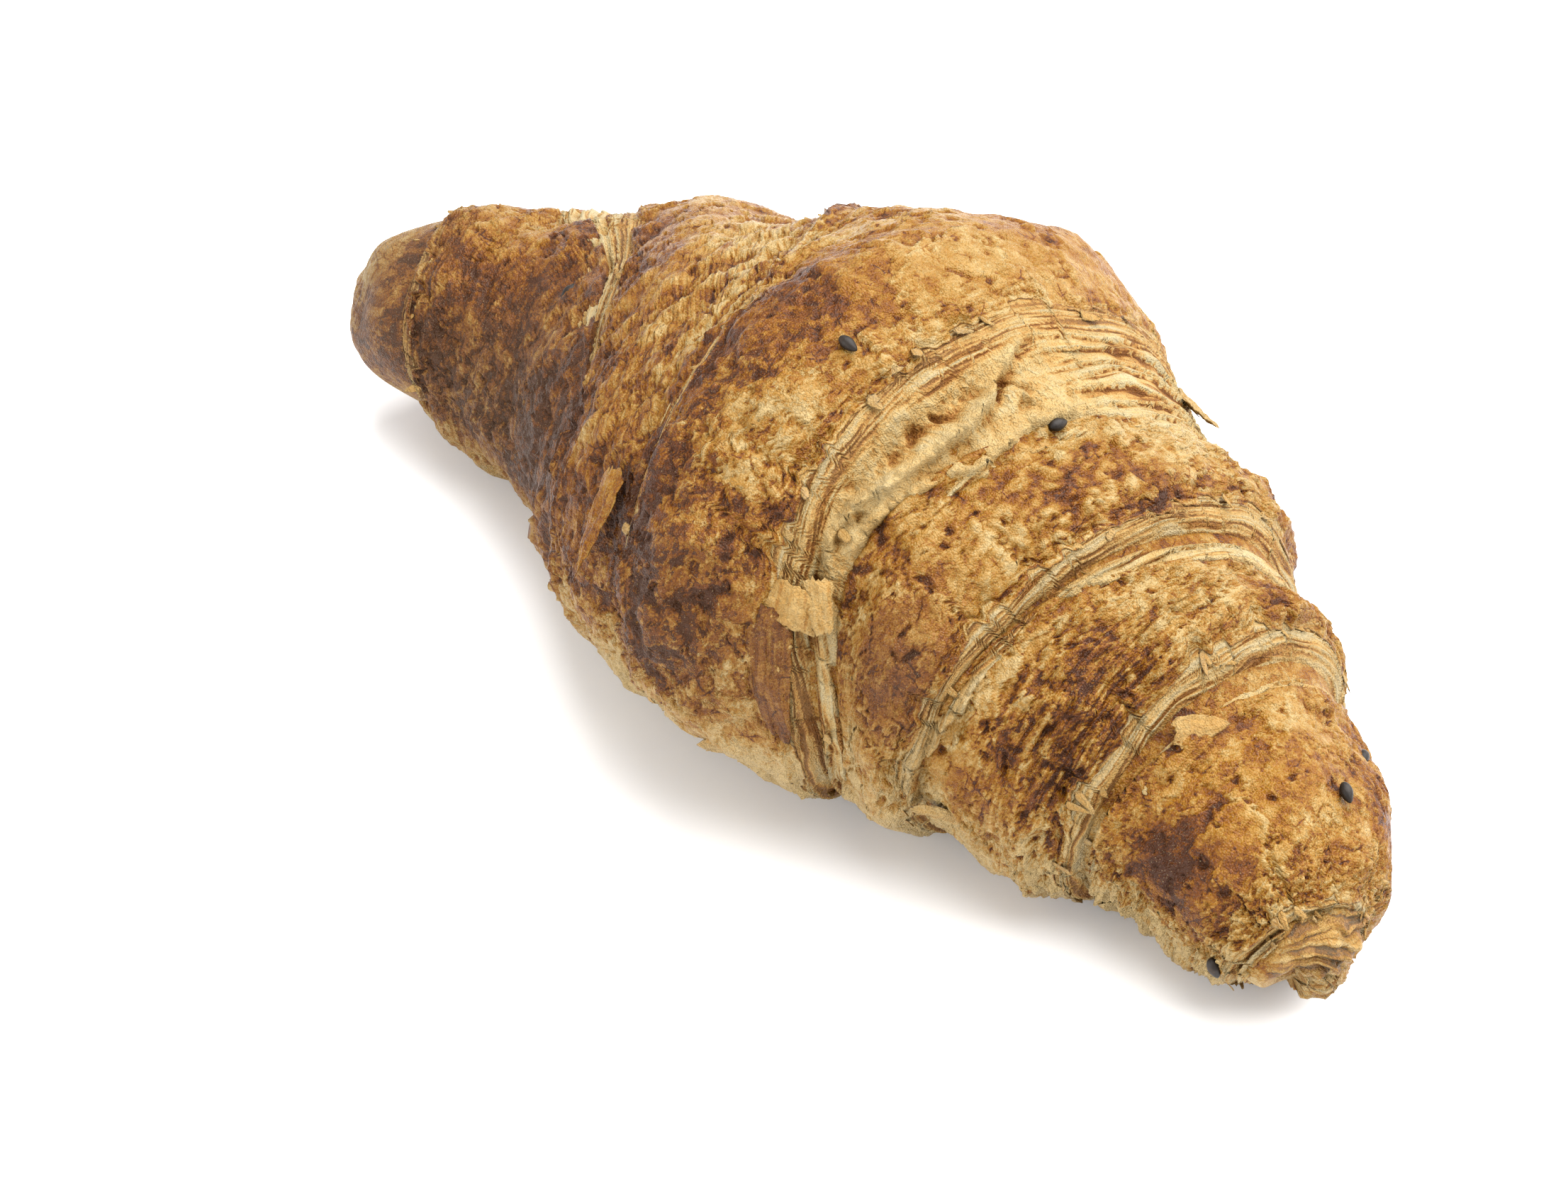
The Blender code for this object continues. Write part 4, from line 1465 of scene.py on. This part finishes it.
@dataclass(frozen=True)
class FloorPaper:
    """Plain white paper with hardly any grain."""

    name: str = "floor_paper"
    roughness: float = 0.9
    stops: tuple[tuple[float, Any], ...] = ((0.3, (0.85, 0.85, 0.86, 1)), (0.7, (0.88, 0.88, 0.88, 1)))

    def make(self) -> bpy.types.Material:
        """Builds the material."""
        bench = Bench(self.name)
        grain = bench.maths("ADD", bench.noise(40), 0.5)
        bench.link(bench.ramp(grain, self.stops), "Base Color")
        bench.shader.inputs["Roughness"].default_value = self.roughness
        return bench.material


@dataclass(frozen=True)
class Studio:
    """A pale floor, soft light and the camera."""

    camera_at: Triple = (0.33057, -0.36330, 0.45330)
    camera_towards: Triple = (-0.5104, 0.5402, -0.6691)
    lens: float = 128.99
    sensor: float = 36.0
    clip: tuple[float, float] = (0.01, 20.0)
    lamps: tuple[tuple[str, Triple, float, float], ...] = (
        ("key", (0.34, 0.54, 1.24), 2.2, 104.0),
        ("fill", (-0.20, -0.85, 0.16), 0.9, 9.5),
    )
    sky: float = 0.94
    floor_size: float = 3.0

    def build(self) -> None:
        """Puts the floor, the lights and the camera in the scene."""
        shape = bmesh.new()
        bmesh.ops.create_grid(shape, x_segments=1, y_segments=1, size=self.floor_size)
        floor = piece_from(shape, "floor")
        floor.data.materials.append(FloorPaper().make())
        scene = bpy.context.scene
        for name, place, size, power in self.lamps:
            light = bpy.data.lights.new(name, "AREA")
            light.size, light.energy = size, power
            lamp = bpy.data.objects.new(name, light)
            scene.collection.objects.link(lamp)
            lamp.location = place
            lamp.rotation_euler = (-Vector(place)).to_track_quat("-Z", "Y").to_euler()
        scene.world = bpy.data.worlds.new("studio")
        scene.world.use_nodes = True
        background = scene.world.node_tree.nodes["Background"]
        background.inputs["Color"].default_value = (1, 1, 1, 1)
        background.inputs["Strength"].default_value = self.sky
        view = bpy.data.cameras.new("camera")
        view.sensor_width, view.lens = self.sensor, self.lens
        view.clip_start, view.clip_end = self.clip
        camera = bpy.data.objects.new("camera", view)
        scene.collection.objects.link(camera)
        camera.location = self.camera_at
        camera.rotation_euler = Vector(self.camera_towards).to_track_quat("-Z", "Y").to_euler()
        scene.camera = camera
        scene.view_settings.view_transform = "Standard"


def turns() -> list[Turn]:
    """The strips of dough, from the middle one outwards, each overlapping the ends of the one before."""
    point, overlap = -75.0, 8.0
    second, third, fourth = (point + count * FULL_TURN for count in (1, 2, 3))
    near_end, far_end = NEAR.places[-1][0], FAR.places[-1][0]
    return [
        Turn(
            "middle_turn", point, second + overlap, None, (FAR, NEAR),
            skin_columns=100, face_columns=76, spacing=0.40, crown=0.7,
        ),
        Turn(
            "near_turn_1", second - overlap, third + overlap, NEAR, (NEAR,),
            skin_columns=80, face_columns=84, spacing=0.32,
        ),
        Turn(
            "near_turn_2", third - overlap, fourth + overlap, NEAR, (NEAR,),
            skin_columns=80, face_columns=76, spacing=0.30,
        ),
        Turn(
            "near_turn_3", fourth - overlap, near_end, NEAR, (NEAR,),
            skin_columns=110, face_columns=36, spacing=0.28, terraced=7.0,
        ),
        Turn(
            "far_turn_1", second - overlap, third + overlap, FAR, (FAR,),
            skin_columns=110, face_columns=44, spacing=0.34,
        ),
        Turn(
            "far_turn_2", third - overlap, far_end, FAR, (FAR,),
            skin_columns=110, face_columns=30, spacing=0.34, crown=0.4, crease_lift=-0.3,
        ),
    ]


def main() -> None:
    """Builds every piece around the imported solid, dresses it and reports it."""
    logging.basicConfig(level=logging.INFO, format="%(name)s: %(message)s", stream=sys.stdout)
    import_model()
    dough, coat = BakedDough().make(), SeedCoat().make()
    made = [(turn.build(), dough) for turn in turns()]
    made += [(InnerRoll().build(), dough), (Flakes().build(), dough), (Seeds().build(), coat)]
    for piece, finish in made:
        piece.data.materials.append(finish)
        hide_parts("croissant")
        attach(piece, "root")
        LOG.info("%s: %d faces", piece.name, len(piece.data.polygons))
    Studio().build()


if __name__ == "__main__":
    main()
